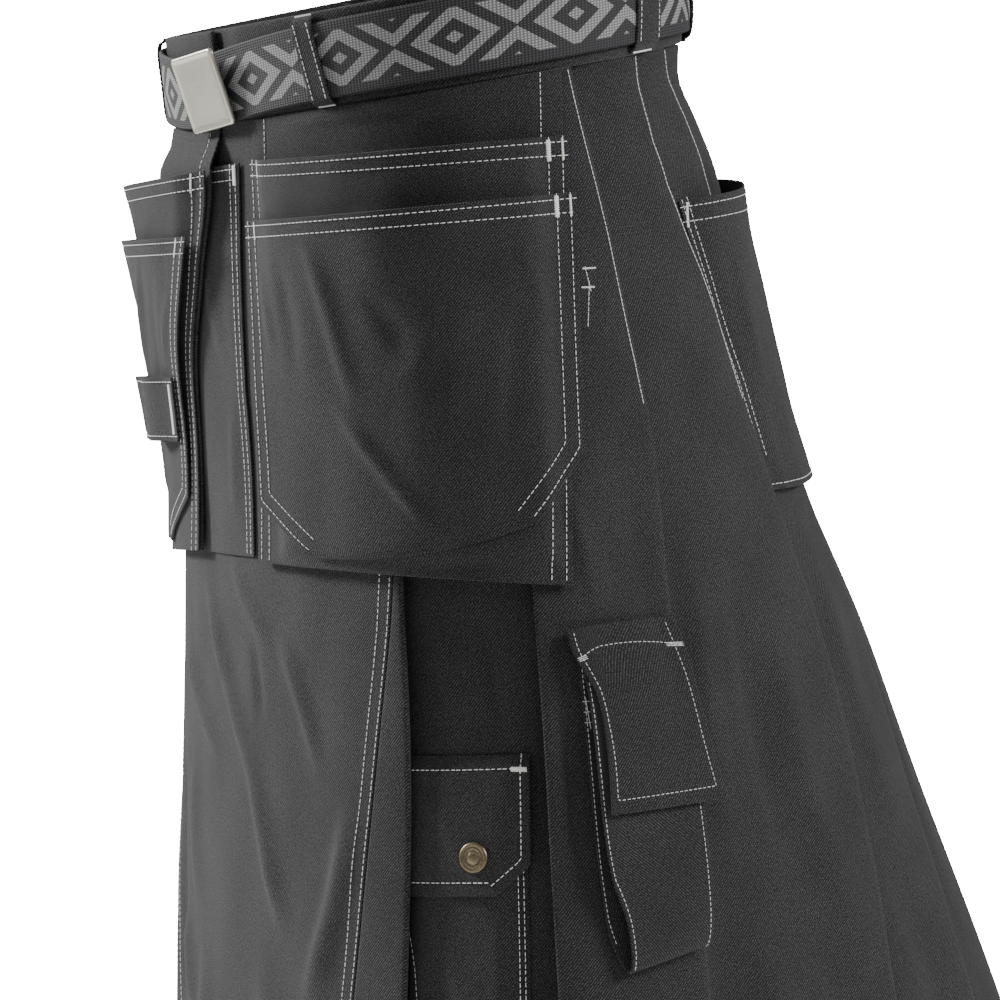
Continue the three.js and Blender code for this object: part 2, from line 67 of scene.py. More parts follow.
CLOTH, TRIM = 1.5, 1.2


def ease(x):
    """A soft step: 3t^2 - 2t^3 with t held from 0 to 1."""
    t = np.clip(x, 0, 1)
    return t * t * (3 - 2 * t)


def mix(a, b, t):
    """Straight line from a to b."""
    return a + (b - a) * t


def smooth(table, column, at):
    """Cubic through one column of a table; slopes are the mean of the two chords beside a point."""
    rows = np.asarray(table, float)
    x, y = rows[:, 0], rows[:, column]
    gap = np.diff(x)
    chord = np.diff(y) / gap
    inner = (gap[:-1] * chord[1:] + gap[1:] * chord[:-1]) / (gap[:-1] + gap[1:])
    slope = np.concatenate([chord[:1], inner, chord[-1:]])
    at = np.clip(at, x[0], x[-1])
    i = np.clip(np.searchsorted(x, at, side="right") - 1, 0, len(x) - 2)
    t = (at - x[i]) / gap[i]
    rise = (t**3 - 2 * t**2 + t) * slope[i] + (t**3 - t**2) * slope[i + 1]
    return (2 * t**3 - 3 * t**2 + 1) * y[i] + (3 * t**2 - 2 * t**3) * y[i + 1] + gap[i] * rise


def place(angle, drop, out):
    """Point in metres: an ellipse at each drop, moved out along its level normal and leaned."""
    angle, drop, out = np.broadcast_arrays(*(np.asarray(v, float) for v in (angle, drop, out)))
    turn = np.radians(angle)
    half = smooth(RINGS, 1, drop)
    deep = np.where(np.cos(turn) > 0, smooth(RINGS, 2, drop), smooth(RINGS, 3, drop))
    across, along = np.sin(turn) / half, -np.cos(turn) / deep
    size = np.hypot(across, along)
    x = half * np.sin(turn) + out * across / size
    y = -deep * np.cos(turn) + out * along / size
    return MM * np.stack([x, y, -drop + smooth(RINGS, 4, drop) * y], -1)


def per_degree(angle, drop):
    """Millimetres round the form in one degree."""
    step = place(angle + 0.5, drop, 0) - place(angle - 0.5, drop, 0)
    return np.linalg.norm(step, axis=-1) / MM


def unit(vectors):
    """Each vector at a length of one."""
    return vectors / np.maximum(np.linalg.norm(vectors, axis=-1, keepdims=True), 1e-12)


def normals(points):
    """Unit normals of a grid, from the cross product of its two directions, turned outwards."""
    normal = unit(np.cross(np.gradient(points, axis=0), np.gradient(points, axis=1)))
    return normal * (1 if np.sum(normal * points * [1, 1, 0]) > 0 else -1)


def wrapped(grid):
    """A ring's grid with its first column again after its last."""
    return np.concatenate([grid, grid[:, :1]], 1)


def quads(ids):
    """The four vertex numbers of every cell of a grid of them."""
    return np.stack([ids[:-1, :-1], ids[1:, :-1], ids[1:, 1:], ids[:-1, 1:]], -1).reshape(-1, 4)


def new_mesh(name, material, points, faces, uv=None):
    """One object from vertex and quad arrays, turned so that its volume is positive."""
    a, b, c, d = (points[faces[:, k]] for k in range(4))
    volume = np.sum(a * np.cross(b, c)) + np.sum(a * np.cross(c, d))
    if volume < 0:
        faces = faces[:, ::-1]
    mesh = bpy.data.meshes.new(name)
    mesh.vertices.add(len(points))
    mesh.vertices.foreach_set("co", points.astype(np.float32).ravel())
    mesh.loops.add(faces.size)
    mesh.loops.foreach_set("vertex_index", faces.astype(np.int32).ravel())
    mesh.polygons.add(len(faces))
    mesh.polygons.foreach_set("loop_start", np.arange(0, faces.size, 4, dtype=np.int32))
    mesh.polygons.foreach_set("use_smooth", np.ones(len(faces), bool))
    if uv is not None:
        layer = mesh.uv_layers.new(name="cloth")
        layer.data.foreach_set("uv", uv[faces.ravel()].astype(np.float32).ravel())
    mesh.update(calc_edges=True)
    mesh.validate()
    mesh.materials.append(material)
    obj = bpy.data.objects.new(name, mesh)
    bpy.context.scene.collection.objects.link(obj)
    return obj


def rim(edge, thick):
    """Share of the thickness at a distance from a turned edge: a half round, then full."""
    near = np.clip(edge / (0.5 * thick), 0, 1)
    return np.sqrt(np.maximum(0, 1 - (1 - near) ** 2))


def shell(name, material, middle, thick, uv, edge, press=0, ring=False):
    """A closed cloth: both faces stand half the thickness from the middle grid and meet at its
    edges, which are rounded by their distance; press sinks the outer face along the seams."""
    rows, columns = middle.shape[:2]
    half = np.broadcast_to(0.5 * MM * thick * rim(edge, thick), (rows, columns))
    stand = normals(middle)
    if ring:
        stand = normals(np.concatenate([middle[:, -1:], wrapped(middle)], 1))[:, 1:-1]
    outer = middle + stand * (half - MM * press)[..., None]
    inner = middle - stand * half[..., None]
    first = np.arange(rows * columns).reshape(rows, columns)
    second = first.copy()
    kept = (slice(1, -1), slice(None) if ring else slice(1, -1))
    second[kept] = rows * columns + np.arange(second[kept].size).reshape(second[kept].shape)
    outer[[0, -1]] = middle[[0, -1]]
    if not ring:
        outer[:, [0, -1]] = middle[:, [0, -1]]
    points = np.concatenate([outer.reshape(-1, 3), inner[kept].reshape(-1, 3)])
    spread = np.concatenate([uv.reshape(-1, 2), uv[kept].reshape(-1, 2)])
    if ring:
        first, second = wrapped(first), wrapped(second)
    faces = np.concatenate([quads(first), quads(second)[:, ::-1]])
    return new_mesh(name, material, points, faces, spread)


def fit(obj, cad_node, stitching=()):
    """The object and its stitching hang from the root and stand for its CAD node, which is
    hidden."""
    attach(obj, "root")
    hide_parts(cad_node)
    for piece in stitching:
        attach(piece, "root")


def colour(code):
    """sRGB hex to the linear colour that a shader takes."""
    parts = np.array([int(code[k:k + 2], 16) for k in (0, 2, 4)]) / 255
    linear = np.where(parts <= 0.04045, parts / 12.92, ((parts + 0.055) / 1.055) ** 2.4)
    return (*linear.tolist(), 1.0)


def node(tree, kind, inputs=(), **settings):
    """Adds a shader node: settings named like its attributes or its sockets, then inputs, each
    with the socket or the value that it takes."""
    made = tree.nodes.new(kind)
    for key, value in settings.items():
        if hasattr(made, key):
            setattr(made, key, value)
        else:
            made.inputs[key.replace("_", " ")].default_value = value
    for socket, source in inputs:
        if isinstance(source, bpy.types.NodeSocket):
            tree.links.new(source, made.inputs[socket])
        else:
            made.inputs[socket].default_value = source
    return made


def new_material(name, **settings):
    """A material with one Principled shader set from the given values."""
    material = bpy.data.materials.new(name)
    material.use_nodes = True
    tree = material.node_tree
    shader = tree.nodes["Principled BSDF"]
    for key, value in settings.items():
        shader.inputs[key.replace("_", " ")].default_value = value
    return material, tree, shader


# Charcoal cotton twill, piece dyed and washed: matt, with a raised diagonal rib that catches
# the light and a faint uneven fade. The rib is 1.15 mm from line to line.
RIB_PITCH = 1.15 * MM
WAVE_TURN = 20  # a wave texture turns its coordinate by this many radians per unit
twill, tree, shader = new_material("washed cotton twill", Roughness=0.85, IOR=1.5,
                                   Specular_IOR_Level=0.22, Sheen_Weight=0.1, Sheen_Roughness=0.5)
uv_map = node(tree, "ShaderNodeUVMap", uv_map="cloth")
rib_turn = node(tree, "ShaderNodeMapping", [("Vector", uv_map.outputs[0])],
                Rotation=(0, 0, np.radians(40)))
rib = node(tree, "ShaderNodeTexWave", [("Vector", rib_turn.outputs[0])],
           Scale=2 * np.pi / (WAVE_TURN * RIB_PITCH), Distortion=0.9, Detail=2.0, Detail_Scale=2.4)
fade = node(tree, "ShaderNodeTexNoise", [("Vector", uv_map.outputs[0])], Scale=22, Detail=5)
fleck = node(tree, "ShaderNodeTexNoise", [("Vector", uv_map.outputs[0])], Scale=1250, Detail=2)
speck = node(tree, "ShaderNodeMapRange", [("Value", fleck.outputs["Fac"])], From_Min=0.36,
             From_Max=0.64)
worn_rib = node(tree, "ShaderNodeMath", [(0, rib.outputs["Fac"]), (1, speck.outputs[0])],
                operation="MULTIPLY")
tone = node(tree, "ShaderNodeMix", [("Factor", worn_rib.outputs[0])], data_type="RGBA",
            A=colour("1b1a1b"), B=colour("656365"))
faded = node(tree, "ShaderNodeMix", [("A", tone.outputs["Result"]),
                                     ("Factor", fade.outputs["Fac"])],
             data_type="RGBA", blend_type="SOFT_LIGHT", B=colour("7c7a7c"))
height = node(tree, "ShaderNodeMath", [(0, rib.outputs["Fac"]), (1, speck.outputs[0])],
              operation="ADD")
bump = node(tree, "ShaderNodeBump", [("Height", height.outputs[0])], Strength=0.7,
            Distance=0.22 * MM)
tree.links.new(faded.outputs["Result"], shader.inputs["Base Color"])
tree.links.new(bump.outputs["Normal"], shader.inputs["Normal"])

LAP, LAP_STEP, BAND_THICK = 8.0, 8.0, 3.0  # degrees past the front, degrees of its step
turns = np.linspace(-LAP, 360 + LAP, 330)
drops = np.concatenate([[0, 0.3, 0.8, 1.6], np.linspace(3, 47, 20), [48.1, 48.9, 49.4, 49.7]])
under = -(BAND_THICK + SEAM) * (1 - ease((turns - LAP - 1) / LAP_STEP))
grid_turn, grid_drop = np.meshgrid(turns, WAIST_TOP + drops)
waist_middle = place(grid_turn, grid_drop, under[None, :])
scale = per_degree(grid_turn, grid_drop)
round_uv = MM * np.stack([grid_turn * scale.mean(0)[None, :], -grid_drop], -1)
end_left = (grid_turn + LAP) * scale
end_right = (360 + LAP - grid_turn) * scale
edge = np.minimum(np.minimum(end_left, end_right),
                  np.minimum(drops, drops[-1] - drops)[:, None])
waistband = shell("waistband_cloth", twill, waist_middle, BAND_THICK, round_uv, edge)
fit(waistband, "waistband")


# Belt
# A ring of heavy woven webbing 40 mm high that lies over the waistband and sags a little at the
# front. Its face has a coarse knotted weave and a lighter woven geometric band.
BELT_HEIGHT, BELT_THICK, BELT_STAND, BELT_SAG, SAG_SPREAD = 40.0, 2.5, 3.1, 7.0, 22.0


def belt_drop(angle):
    """How far the belt's middle lies below the waist: a bell centred on the front."""
    off = (np.asarray(angle, float) + 180) % 360 - 180
    return BELT_SAG * np.exp(-((off / SAG_SPREAD) ** 2))


turns = np.linspace(0, 360, 361)[:-1]
heights = BELT_HEIGHT * np.concatenate([[0, 0.006, 0.02, 0.045], np.linspace(0.08, 0.92, 12),
                                        [0.955, 0.98, 0.994, 1]])
grid_turn, grid_drop = np.meshgrid(turns, heights - BELT_HEIGHT / 2)
belt_middle = place(grid_turn, grid_drop + belt_drop(grid_turn), BELT_STAND + BELT_THICK / 2)
belt_edge = np.minimum(heights, BELT_HEIGHT - heights)[:, None]
belt_scale = per_degree(turns, 0)
belt_length = np.concatenate([[0], np.cumsum(belt_scale)[:-1]])
belt_uv = MM * np.stack([np.broadcast_to(belt_length, grid_turn.shape), -grid_drop], -1)

# Woven polyester webbing, dark charcoal warp with a light grey figured weft: dull, with
# knots about 1.7 mm apart in rows 1.3 mm high. The figure is a band of lozenges.
webbing, tree, shader = new_material("woven webbing", Roughness=0.75, IOR=1.5)
uv_map = node(tree, "ShaderNodeUVMap", uv_map="cloth")
split = node(tree, "ShaderNodeSeparateXYZ", [("Vector", uv_map.outputs[0])])
FIGURE_REPEAT, FIGURE_SLOPE, FIGURE_HALF = 58 * MM, 1.35, 14.5 * MM
LOZENGE, STROKE = 8.5 * MM, 4.4 * MM
inside = node(tree, "ShaderNodeMath", [(0, split.outputs["X"]), (1, FIGURE_REPEAT / 2)],
              operation="PINGPONG")
level = node(tree, "ShaderNodeMath", [(0, split.outputs["Y"])], operation="ABSOLUTE")
slope = node(tree, "ShaderNodeMath", [(0, level.outputs[0]), (1, FIGURE_SLOPE),
                                      (2, inside.outputs[0])], operation="MULTIPLY_ADD")
repeat = node(tree, "ShaderNodeMath", [(0, slope.outputs[0]), (1, LOZENGE)], operation="PINGPONG")
stroke = node(tree, "ShaderNodeMath", [(0, repeat.outputs[0]), (1, STROKE)],
              operation="LESS_THAN")
middle_band = node(tree, "ShaderNodeMath", [(0, level.outputs[0]), (1, FIGURE_HALF)],
                   operation="LESS_THAN")
figure = node(tree, "ShaderNodeMath", [(0, stroke.outputs[0]), (1, middle_band.outputs[0])],
              operation="MULTIPLY")
KNOT_WIDE, KNOT_HIGH = 1.7, 1.3
knot_u, knot_v = (
    node(tree, "ShaderNodeTexWave", [("Vector", uv_map.outputs[0])], bands_direction=way,
         Scale=2 * np.pi / (WAVE_TURN * size * MM), Distortion=0.6)
    for way, size in (("X", KNOT_WIDE), ("Y", KNOT_HIGH)))
knot = node(tree, "ShaderNodeMath", [(0, knot_u.outputs["Fac"]), (1, knot_v.outputs["Fac"])],
            operation="MULTIPLY")
ground, light = (
    node(tree, "ShaderNodeMix", [("Factor", knot.outputs[0])], data_type="RGBA", A=colour(dark),
         B=colour(pale))
    for dark, pale in (("19191c", "4c4c4f"), ("666767", "c2c3c1")))
woven = node(tree, "ShaderNodeMix", [("Factor", figure.outputs[0]), ("A", ground.outputs["Result"]),
                                     ("B", light.outputs["Result"])], data_type="RGBA")
bump = node(tree, "ShaderNodeBump", [("Height", knot.outputs[0])], Strength=0.8, Distance=0.5 * MM)
tree.links.new(woven.outputs["Result"], shader.inputs["Base Color"])
tree.links.new(bump.outputs["Normal"], shader.inputs["Normal"])
belt = shell("belt_webbing_weave", webbing, belt_middle, BELT_THICK, belt_uv, belt_edge, ring=True)
fit(belt, "belt_webbing")


# Front apron
# The flat front panel from the waistband to the hem, between the two box pleats. It hangs in
# long soft folds that start under the holsters.
EDGES = [  # drop, box pleat edge, wedge width, side edge, knife pleats A to E
    (25, 46, 1.6, 76, 91.3, 111.8, 125.5, 140, 156),
    (45, 46, 1.6, 76, 93.1, 113.3, 129.6, 143, 158),
    (80, 46, 1.6, 76, 95.7, 113.8, 130.2, 145.5, 160.5),
    (100, 46, 1.6, 76, 97.3, 117.2, 132.8, 147.3, 162),
    (135, 46, 1.6, 75.8, 99.3, 122.8, 138.2, 151.5, 165.3),
    (190, 46, 1.6, 75.5, 102, 127.3, 145, 158, 170),
    (275, 46, 1.8, 75.5, 101.5, 129.8, 146, 159, 170.5),
    (345, 46, 6, 76.5, 101, 129.8, 146, 160, 171),
    (415, 44.8, 8.8, 77, 100.7, 128, 145, 159.5, 171),
    (472, 43.5, 11, 77.5, 100.5, 125.7, 143.5, 159, 171),
    (590, 41, 15, 78, 100, 123, 142, 158, 171),
]
BOX_EDGE, WEDGE, SIDE_EDGE, FIRST_PLEAT = 1, 2, 3, 4
DEGREE = 2.8  # mean millimetres in a degree, for the run of a fold
FOLDS = [  # angle and drop of both ends, half width, height
    (-12, 268, 8, 380, 6, 3.6),
    (0, 262, 14, 312, 4.5, 2.6),
    (15, 296, 27, 372, 5, 2.6),
    (4, 350, 17, 452, 7, 3.4),
    (34, 372, 21, 490, 9, 4.6),
    (-26, 300, -4, 370, 6, 3.4),
    (-27, 445, -14, 505, 7, 3.4),
    (-14, 450, -6, 590, 10, 3.4),
    (9, 450, 12, 590, 12, 3.2),
    (-20, 360, -16, 450, 10, 2.4),
    (8, 300, 10, 350, 4, -1.6),
    (-33, 330, -24, 520, 9, -2.6),
    (-36, 380, -30, 560, 8, 2.2),
    (23, 478, 26, 590, 9, -2.4),
    (-3, 32, 17, 44, 3.5, 1.6),
    (-14, 38, 3, 48, 4, -1.2),
    (84, 225, 93, 300, 8, 1.8),
    (96, 205, 99, 345, 6, -1.6),
    (88, 455, 92, 590, 10, 2.6),
    (81, 300, 83, 420, 6, -1.5),
    (105, 235, 107, 420, 7, 2.4),
    (112, 255, 115, 440, 7, -2.2),
    (119, 270, 121, 480, 8, 2.2),
    (108, 420, 112, 590, 9, 2.8),
    (116, 430, 118, 590, 8, -2.2),
    (137, 230, 138, 420, 9, 2.2),
    (134, 400, 136, 590, 9, -2.2),
    (152, 240, 153, 500, 9, 2.4),
    (165, 220, 166, 450, 8, 2.0),
    (176, 260, 176, 560, 9, 2.6),
    (-92, 215, -96, 330, 9, 1.6),
    (-86, 330, -90, 520, 10, 2.2),
    (-106, 240, -115, 400, 9, -1.8),
    (-112, 350, -118, 590, 9, 2.6),
    (-139, 240, -137, 470, 9, 2.4),
    (-151, 220, -153, 420, 9, -1.8),
    (-165, 300, -165, 590, 9, 2.4),
    (-176, 220, -175, 430, 9, 2.0),
    (49, 281, 55, 345, 6, 1.8),
    (62, 290, 66, 352, 7, -1.2),
    (-55, 260, -60, 470, 10, 1.6),
    (-66, 380, -62, 570, 8, -1.4),
]
SWAY = [  # waves round the form, waves down it, phase, height: a slow unevenness
    (11, 1.7, 0.4, 0.35),
    (17, -2.6, 1.9, 0.28),
    (29, 3.9, 3.1, 0.18),
]


def creases(table, angle, drop):
    """Sum of the listed ridges: a bell across each straight run, steeper on one side, with
    ends that fade over a third of its length."""
    total = np.zeros(np.broadcast(angle, drop).shape)
    for angle0, drop0, angle1, drop1, wide, high in table:
        run = np.array([(angle1 - angle0) * DEGREE, drop1 - drop0], float)
        long = np.hypot(*run)
        x, y = (angle - angle0) * DEGREE, drop - drop0
        along = (x * run[0] + y * run[1]) / long**2
        off = (x * run[1] - y * run[0]) / long
        bend = off + 0.25 * wide * np.sin(5.1 * along + angle0)
        bell = np.exp(-((bend / np.where(bend > 0, wide, 0.6 * wide)) ** 2))
        total = total + high * bell * ease(along / 0.35) * ease((1 - along) / 0.35)
    return total


def sway(angle, drop):
    """Sum of three long waves round and down the form."""
    total = 0
    for around, down, phase, high in SWAY:
        wave = around * np.radians(angle) + down * 2 * np.pi * drop / HEM_DROP + phase
        total = total + high * np.sin(wave)
    return total


def drape(angle, drop):
    """What the worn skirt stands off its form: folds and sway, none at the waistband."""
    return ease((drop - WAIST_FOOT) / 40) * (creases(FOLDS, angle, drop) + sway(angle, drop))


def edge_at(column, drop):
    """Angle of one fold edge at a drop."""
    return smooth(EDGES, column, drop)


def near_ends(count, length, radius):
    """Places along a length: even steps, with four more in the rounding at both ends."""
    soft = radius * np.array([0, 0.12, 0.4, 0.75])
    return np.concatenate([soft, np.linspace(radius, length - radius, count),
                           length - soft[::-1]])


HEM_DEEP, HEM_EXTRA = 22.0, 0.8
skirt_down = near_ends(100, HEM_DROP - WAIST_FOOT, CLOTH / 2)
skirt_drops = WAIST_FOOT + skirt_down
skirt_edge = np.minimum(skirt_down, skirt_down[::-1])[:, None]
hem_thick = (CLOTH + HEM_EXTRA * ease((skirt_drops - HEM_DROP + HEM_DEEP) / 1.5))[:, None]


def apron_reach(drop):
    """Angle of the apron's side seam."""
    seam = edge_at(BOX_EDGE, drop) - edge_at(WEDGE, drop)
    return seam - SEAM / 2 / per_degree(seam, drop)


def running(points):
    """Length along each row of points, from its first."""
    steps = np.linalg.norm(np.diff(points, axis=-2), axis=-1)
    return np.concatenate([0 * steps[..., :1], np.cumsum(steps, -1)], -1)


def flat_uv(middle, drop, way=1, slide=None):
    """Cloth coordinates in metres: the length along each row less how far the row has slid,
    which is the length to its middle column where nothing else is given, and the drop."""
    u = running(middle)
    if slide is None:
        slide = u[:, [u.shape[1] // 2]]
    return np.stack([way * (u - slide), np.broadcast_to(-MM * drop, u.shape)], -1)


reach = apron_reach(skirt_drops)[:, None]
apron_width = 2 * reach * per_degree(20, skirt_drops)[:, None]
share = near_ends(86, 230, CLOTH / 2)[None, :] / 230
grid_turn = (2 * share - 1) * reach
apron_middle = place(grid_turn, skirt_drops[:, None], drape(grid_turn, skirt_drops[:, None]))
apron_edge = np.minimum(np.minimum(share, 1 - share) * apron_width, skirt_edge)
apron_uv = flat_uv(apron_middle, skirt_drops[:, None])
apron = shell("apron_cloth", twill, apron_middle, hem_thick, apron_uv, apron_edge)


def skirt_face(angle, drop):
    """Outer face of the flat apron."""
    return place(angle, drop, CLOTH / 2 + drape(angle, drop))


# Off-white polyester sewing thread, three-ply and slightly glossy
thread = new_material("polyester thread", Roughness=0.55, IOR=1.5,
                      Base_Color=colour("e9e8e4"))[0]
PITCH, DASH, THREAD = 3.0, 2.2, 0.52
PROFILE = np.array([(-1, 0), (-0.55, 0.8), (0.55, 0.8), (1, 0)])
ALONG = np.array([(0, 0.4, -0.2), (0.1, 1, 0.6), (0.9, 1, 0.6), (1, 0.4, -0.2)])


def threads(name, face, start, end, wide=THREAD):
    """One small arched bar for each stitch: its ends dive into the cloth, and its section is a
    low four-cornered crown across the line from start to end (angle, drop)."""
    start, end = np.asarray(start, float), np.asarray(end, float)
    spots = start[:, None] + (end - start)[:, None] * ALONG[None, :, :1]
    centre = face(spots[..., 0], spots[..., 1])
    step = 0.4
    d_turn = face(spots[..., 0] + step, spots[..., 1]) - face(spots[..., 0] - step, spots[..., 1])
    d_drop = face(spots[..., 0], spots[..., 1] + step) - face(spots[..., 0], spots[..., 1] - step)
    up = unit(np.cross(d_drop, d_turn))
    up *= np.sign(np.sum(up * centre * [1, 1, 0], -1, keepdims=True))
    across = unit(np.cross(centre[:, -1:] - centre[:, :1], up))
    size = 0.5 * MM * wide
    side = across[:, :, None] * PROFILE[None, None, :, :1] * ALONG[None, :, None, 1:2]
    lift = up[:, :, None] * (PROFILE[None, None, :, 1:] * ALONG[None, :, None, 1:2]
                             + ALONG[None, :, None, 2:] - 0.3)
    points = (centre[:, :, None] + size * (side + lift)).reshape(-1, 3)
    ring = np.arange(4)
    sides = [np.stack([4 * k + ring, 4 * k + (ring + 1) % 4, 4 * k + 4 + (ring + 1) % 4,
                       4 * k + 4 + ring], -1) for k in range(3)]
    faces = np.concatenate([*sides, [[3, 2, 1, 0]], [[12, 13, 14, 15]]])
    every = (16 * np.arange(len(start))[:, None, None] + faces[None]).reshape(-1, 4)
    return new_mesh(name, thread, points, every)


def read_off(at, x, table):
    """Each column of a table at places along x."""
    return [np.interp(at, x, column) for column in np.transpose(table)]


def run(face, line, pitch=PITCH, dash=DASH):
    """Start and end (angle, drop) of each stitch: equal steps of length along a line."""
    line = np.asarray(line, float)
    fine = np.linspace(0, len(line) - 1, 60 * (len(line) - 1) + 1)
    spots = np.stack(read_off(fine, np.arange(len(line)), line), -1)
    length = running(face(spots[:, 0], spots[:, 1])) / MM
    first = np.arange(0, max(length[-1] - dash, 0.1), pitch)
    jitter = 0.15 * np.sin(7.3 * first + line[0, 0])
    return [np.stack(read_off(at, length, spots), -1)
            for at in (first + jitter, first + dash + jitter)]


def tack(angle, drop, long, upright=True, wide=2.2):
    """A bar tack: close threads across a short line, each a little uneven."""
    scale = per_degree(angle, drop)
    at = np.arange(-long / 2, long / 2, 0.42)
    reach = wide / 2 * (1 + 0.18 * np.sin(9.7 * at))
    if upright:
        start = np.stack([angle - reach / scale, drop + at], -1)
        end = np.stack([angle + reach / scale, drop + at + 0.3], -1)
    else:
        start = np.stack([angle + at / scale, drop - reach], -1)
        end = np.stack([angle + (at + 0.3) / scale, drop + reach], -1)
    return start, end


def sew(name, face, lines, tacks=(), pitch=PITCH, dash=DASH):
    """All the thread of a piece as one object: stitch rows and bar tacks."""
    pairs = [run(face, line, pitch, dash) for line in lines]
    pairs += [tack(*spot) for spot in tacks]
    start = np.concatenate([pair[0] for pair in pairs])
    end = np.concatenate([pair[1] for pair in pairs])
    return threads(name, face, start, end)


seam_drops = np.linspace(30, 585, 24)


def seam_line(side, inset):
    """A row beside the apron's side seam."""
    angle = apron_reach(seam_drops)
    return np.stack([side * (angle - inset / per_degree(angle, seam_drops)), seam_drops], -1)


hem_row = HEM_DROP - HEM_DEEP + 3
seams = [seam_line(side, inset) for side in (1, -1) for inset in (1.6, 8.0)]
hem_reach = apron_reach(hem_row)
apron_thread = sew("apron_stitching", skirt_face,
                   [*seams, [(-hem_reach, hem_row), (0, hem_row), (hem_reach, hem_row)]])
fit(apron, "apron", [apron_thread])


# Box pleat insets
# A wedge strip beyond the apron's seam turns under at the front fold and runs back as the
# pleat's floor. Stitched flat at the hip, the fold opens towards the hem.
LAYER = 2.3
BOX_UNDER_TOP, BOX_UNDER, BOX_FLOOR, BOX_SINK = 5.0, 11.0, 12.0, 5.0
SIDES = (("left", 1), ("right", -1))


def fold(angle, out, rise, way, scale):
    """The three points of a fold edge."""
    back = way * LAYER / 2 / scale
    return [(angle - back, out), (angle, out + rise / 2), (angle - back, out + rise)]


def box_under(drop):
    """How many degrees the pleat's floor runs under the side panel."""
    return mix(BOX_UNDER_TOP, BOX_UNDER, ease((drop - WAIST_FOOT) / 150))


def box_open(drop):
    """How far the box pleat has opened: 0 at the hip, 1 below."""
    return ease((drop - 195) / 135)


def box_path(drop):
    """Middle line of the inset at each drop: strip, front fold, return, floor."""
    opened = box_open(drop)
    front, rear = edge_at(BOX_EDGE, drop), edge_at(SIDE_EDGE, drop)
    scale = per_degree(front, drop)
    inside, end = front - BOX_UNDER, rear + box_under(drop)
    sink = opened * BOX_SINK
    floor = -2 * LAYER - opened * (BOX_FLOOR - 2 * LAYER)
    return [
        (front - edge_at(WEDGE, drop) + SEAM / 2 / scale, 0 * drop),
        *fold(front, 0 * drop, -LAYER, 1, scale),
        (mix(front, inside, 0.5), -LAYER - sink / 2),
        *fold(inside, -LAYER - sink, -LAYER, -1, scale),
        (mix(inside, front, 0.5), floor),
        (front, floor),
        (mix(front, rear, 0.25), floor),
        (mix(front, rear, 0.5), floor),
        (mix(front, rear, 0.75), floor),
        (rear, floor),
        (mix(rear, end, 0.5), mix(floor, -2 * LAYER - sink, 0.4)),
        (end, -2 * LAYER - sink),
    ]


def rounded(path, times=2):
    """Corner cutting: each corner gives way to points a quarter and three quarters along."""
    for _ in range(times):
        early = 0.75 * path[:, :-1] + 0.25 * path[:, 1:]
        late = 0.25 * path[:, :-1] + 0.75 * path[:, 1:]
        between = np.stack([early, late], 2).reshape(len(path), -1, path.shape[-1])
        path = np.concatenate([path[:, :1], between, path[:, -1:]], 1)
    return path


def slides(angle, length):
    """How far each row has slid along the cloth: one value for each face that runs forward for
    8 mm or more, taken at its middle column, and a straight change through what is hidden."""
    forward = np.diff(angle.mean(0)) > 0
    turns = np.flatnonzero(np.diff(forward.astype(int))) + 1
    starts = np.concatenate([[0], turns, [len(forward)]])
    ends, middles = [], []
    for start, end in zip(starts[:-1], starts[1:]):
        if forward[start] and (length[:, end] - length[:, start]).mean() > 8:
            ends += [start, end]
            middles += [(start + end) // 2] * 2
    columns = np.arange(length.shape[1])
    return np.stack([np.interp(columns, ends, row) for row in length[:, middles]])


def folded(name, path_of, side, step=5.5):
    """Folded cloth: the rounded path at each drop, with long spans split, on the draped form."""
    path = rounded(np.stack([np.stack(np.broadcast_arrays(a, o), -1)
                             for a, o in path_of(skirt_drops)], 1))
    wide = np.abs(np.diff(path[..., 0], axis=1)) * per_degree(100, 300)
    count = np.maximum(1, np.ceil(wide.mean(0) / step)).astype(int)
    at = np.concatenate([i + np.arange(n) / n for i, n in enumerate(count)] + [[len(count)]])
    soft = np.array([0.06, 0.3])
    at = np.concatenate([at[:1], soft, at[1:-1], len(count) - soft[::-1], at[-1:]])
    i = np.minimum(at.astype(int), len(count) - 1)
    t = (at - i)[None, :, None]
    line = (1 - t) * path[:, i] + t * path[:, i + 1]
    angle, drop = side * line[..., 0], skirt_drops[:, None]
    middle = place(angle, drop, line[..., 1] + drape(angle, drop))
    length = running(middle) / MM
    edge = np.minimum(np.minimum(length, length[:, -1:] - length), skirt_edge)
    uv = flat_uv(middle, drop, side, MM * slides(line[..., 0], length))
    return shell(name, twill, middle, hem_thick, uv, edge), middle


for word, side in SIDES:
    inset, middle = folded(f"box_pleat_{word}_cloth", box_path, side)
    fit(inset, f"box_pleat_{word}")


# Side and back panels
# One width a side, folded into five knife pleats that point to the back and meet at the centre
# back seam. The first pleats are edge stitched down to the hip and swing free below.
PLEAT_OPEN_FROM, PLEAT_OPEN_BY, PLEAT_LIFT, PLEAT_SINK, PLEAT_STEP = 185.0, 560.0, 5.0, 9.0, 1.6
PLEAT_COUNT = 5
EDGE_STITCH, EDGE_PITCH, EDGE_DASH = 2.4, 2.5, 2.25  # inset from the fold, step and length


def pleat_open(drop):
    """How far the knife pleats have opened: 0 at the hip, 1 near the hem."""
    return ease((drop - PLEAT_OPEN_FROM) / (PLEAT_OPEN_BY - PLEAT_OPEN_FROM))


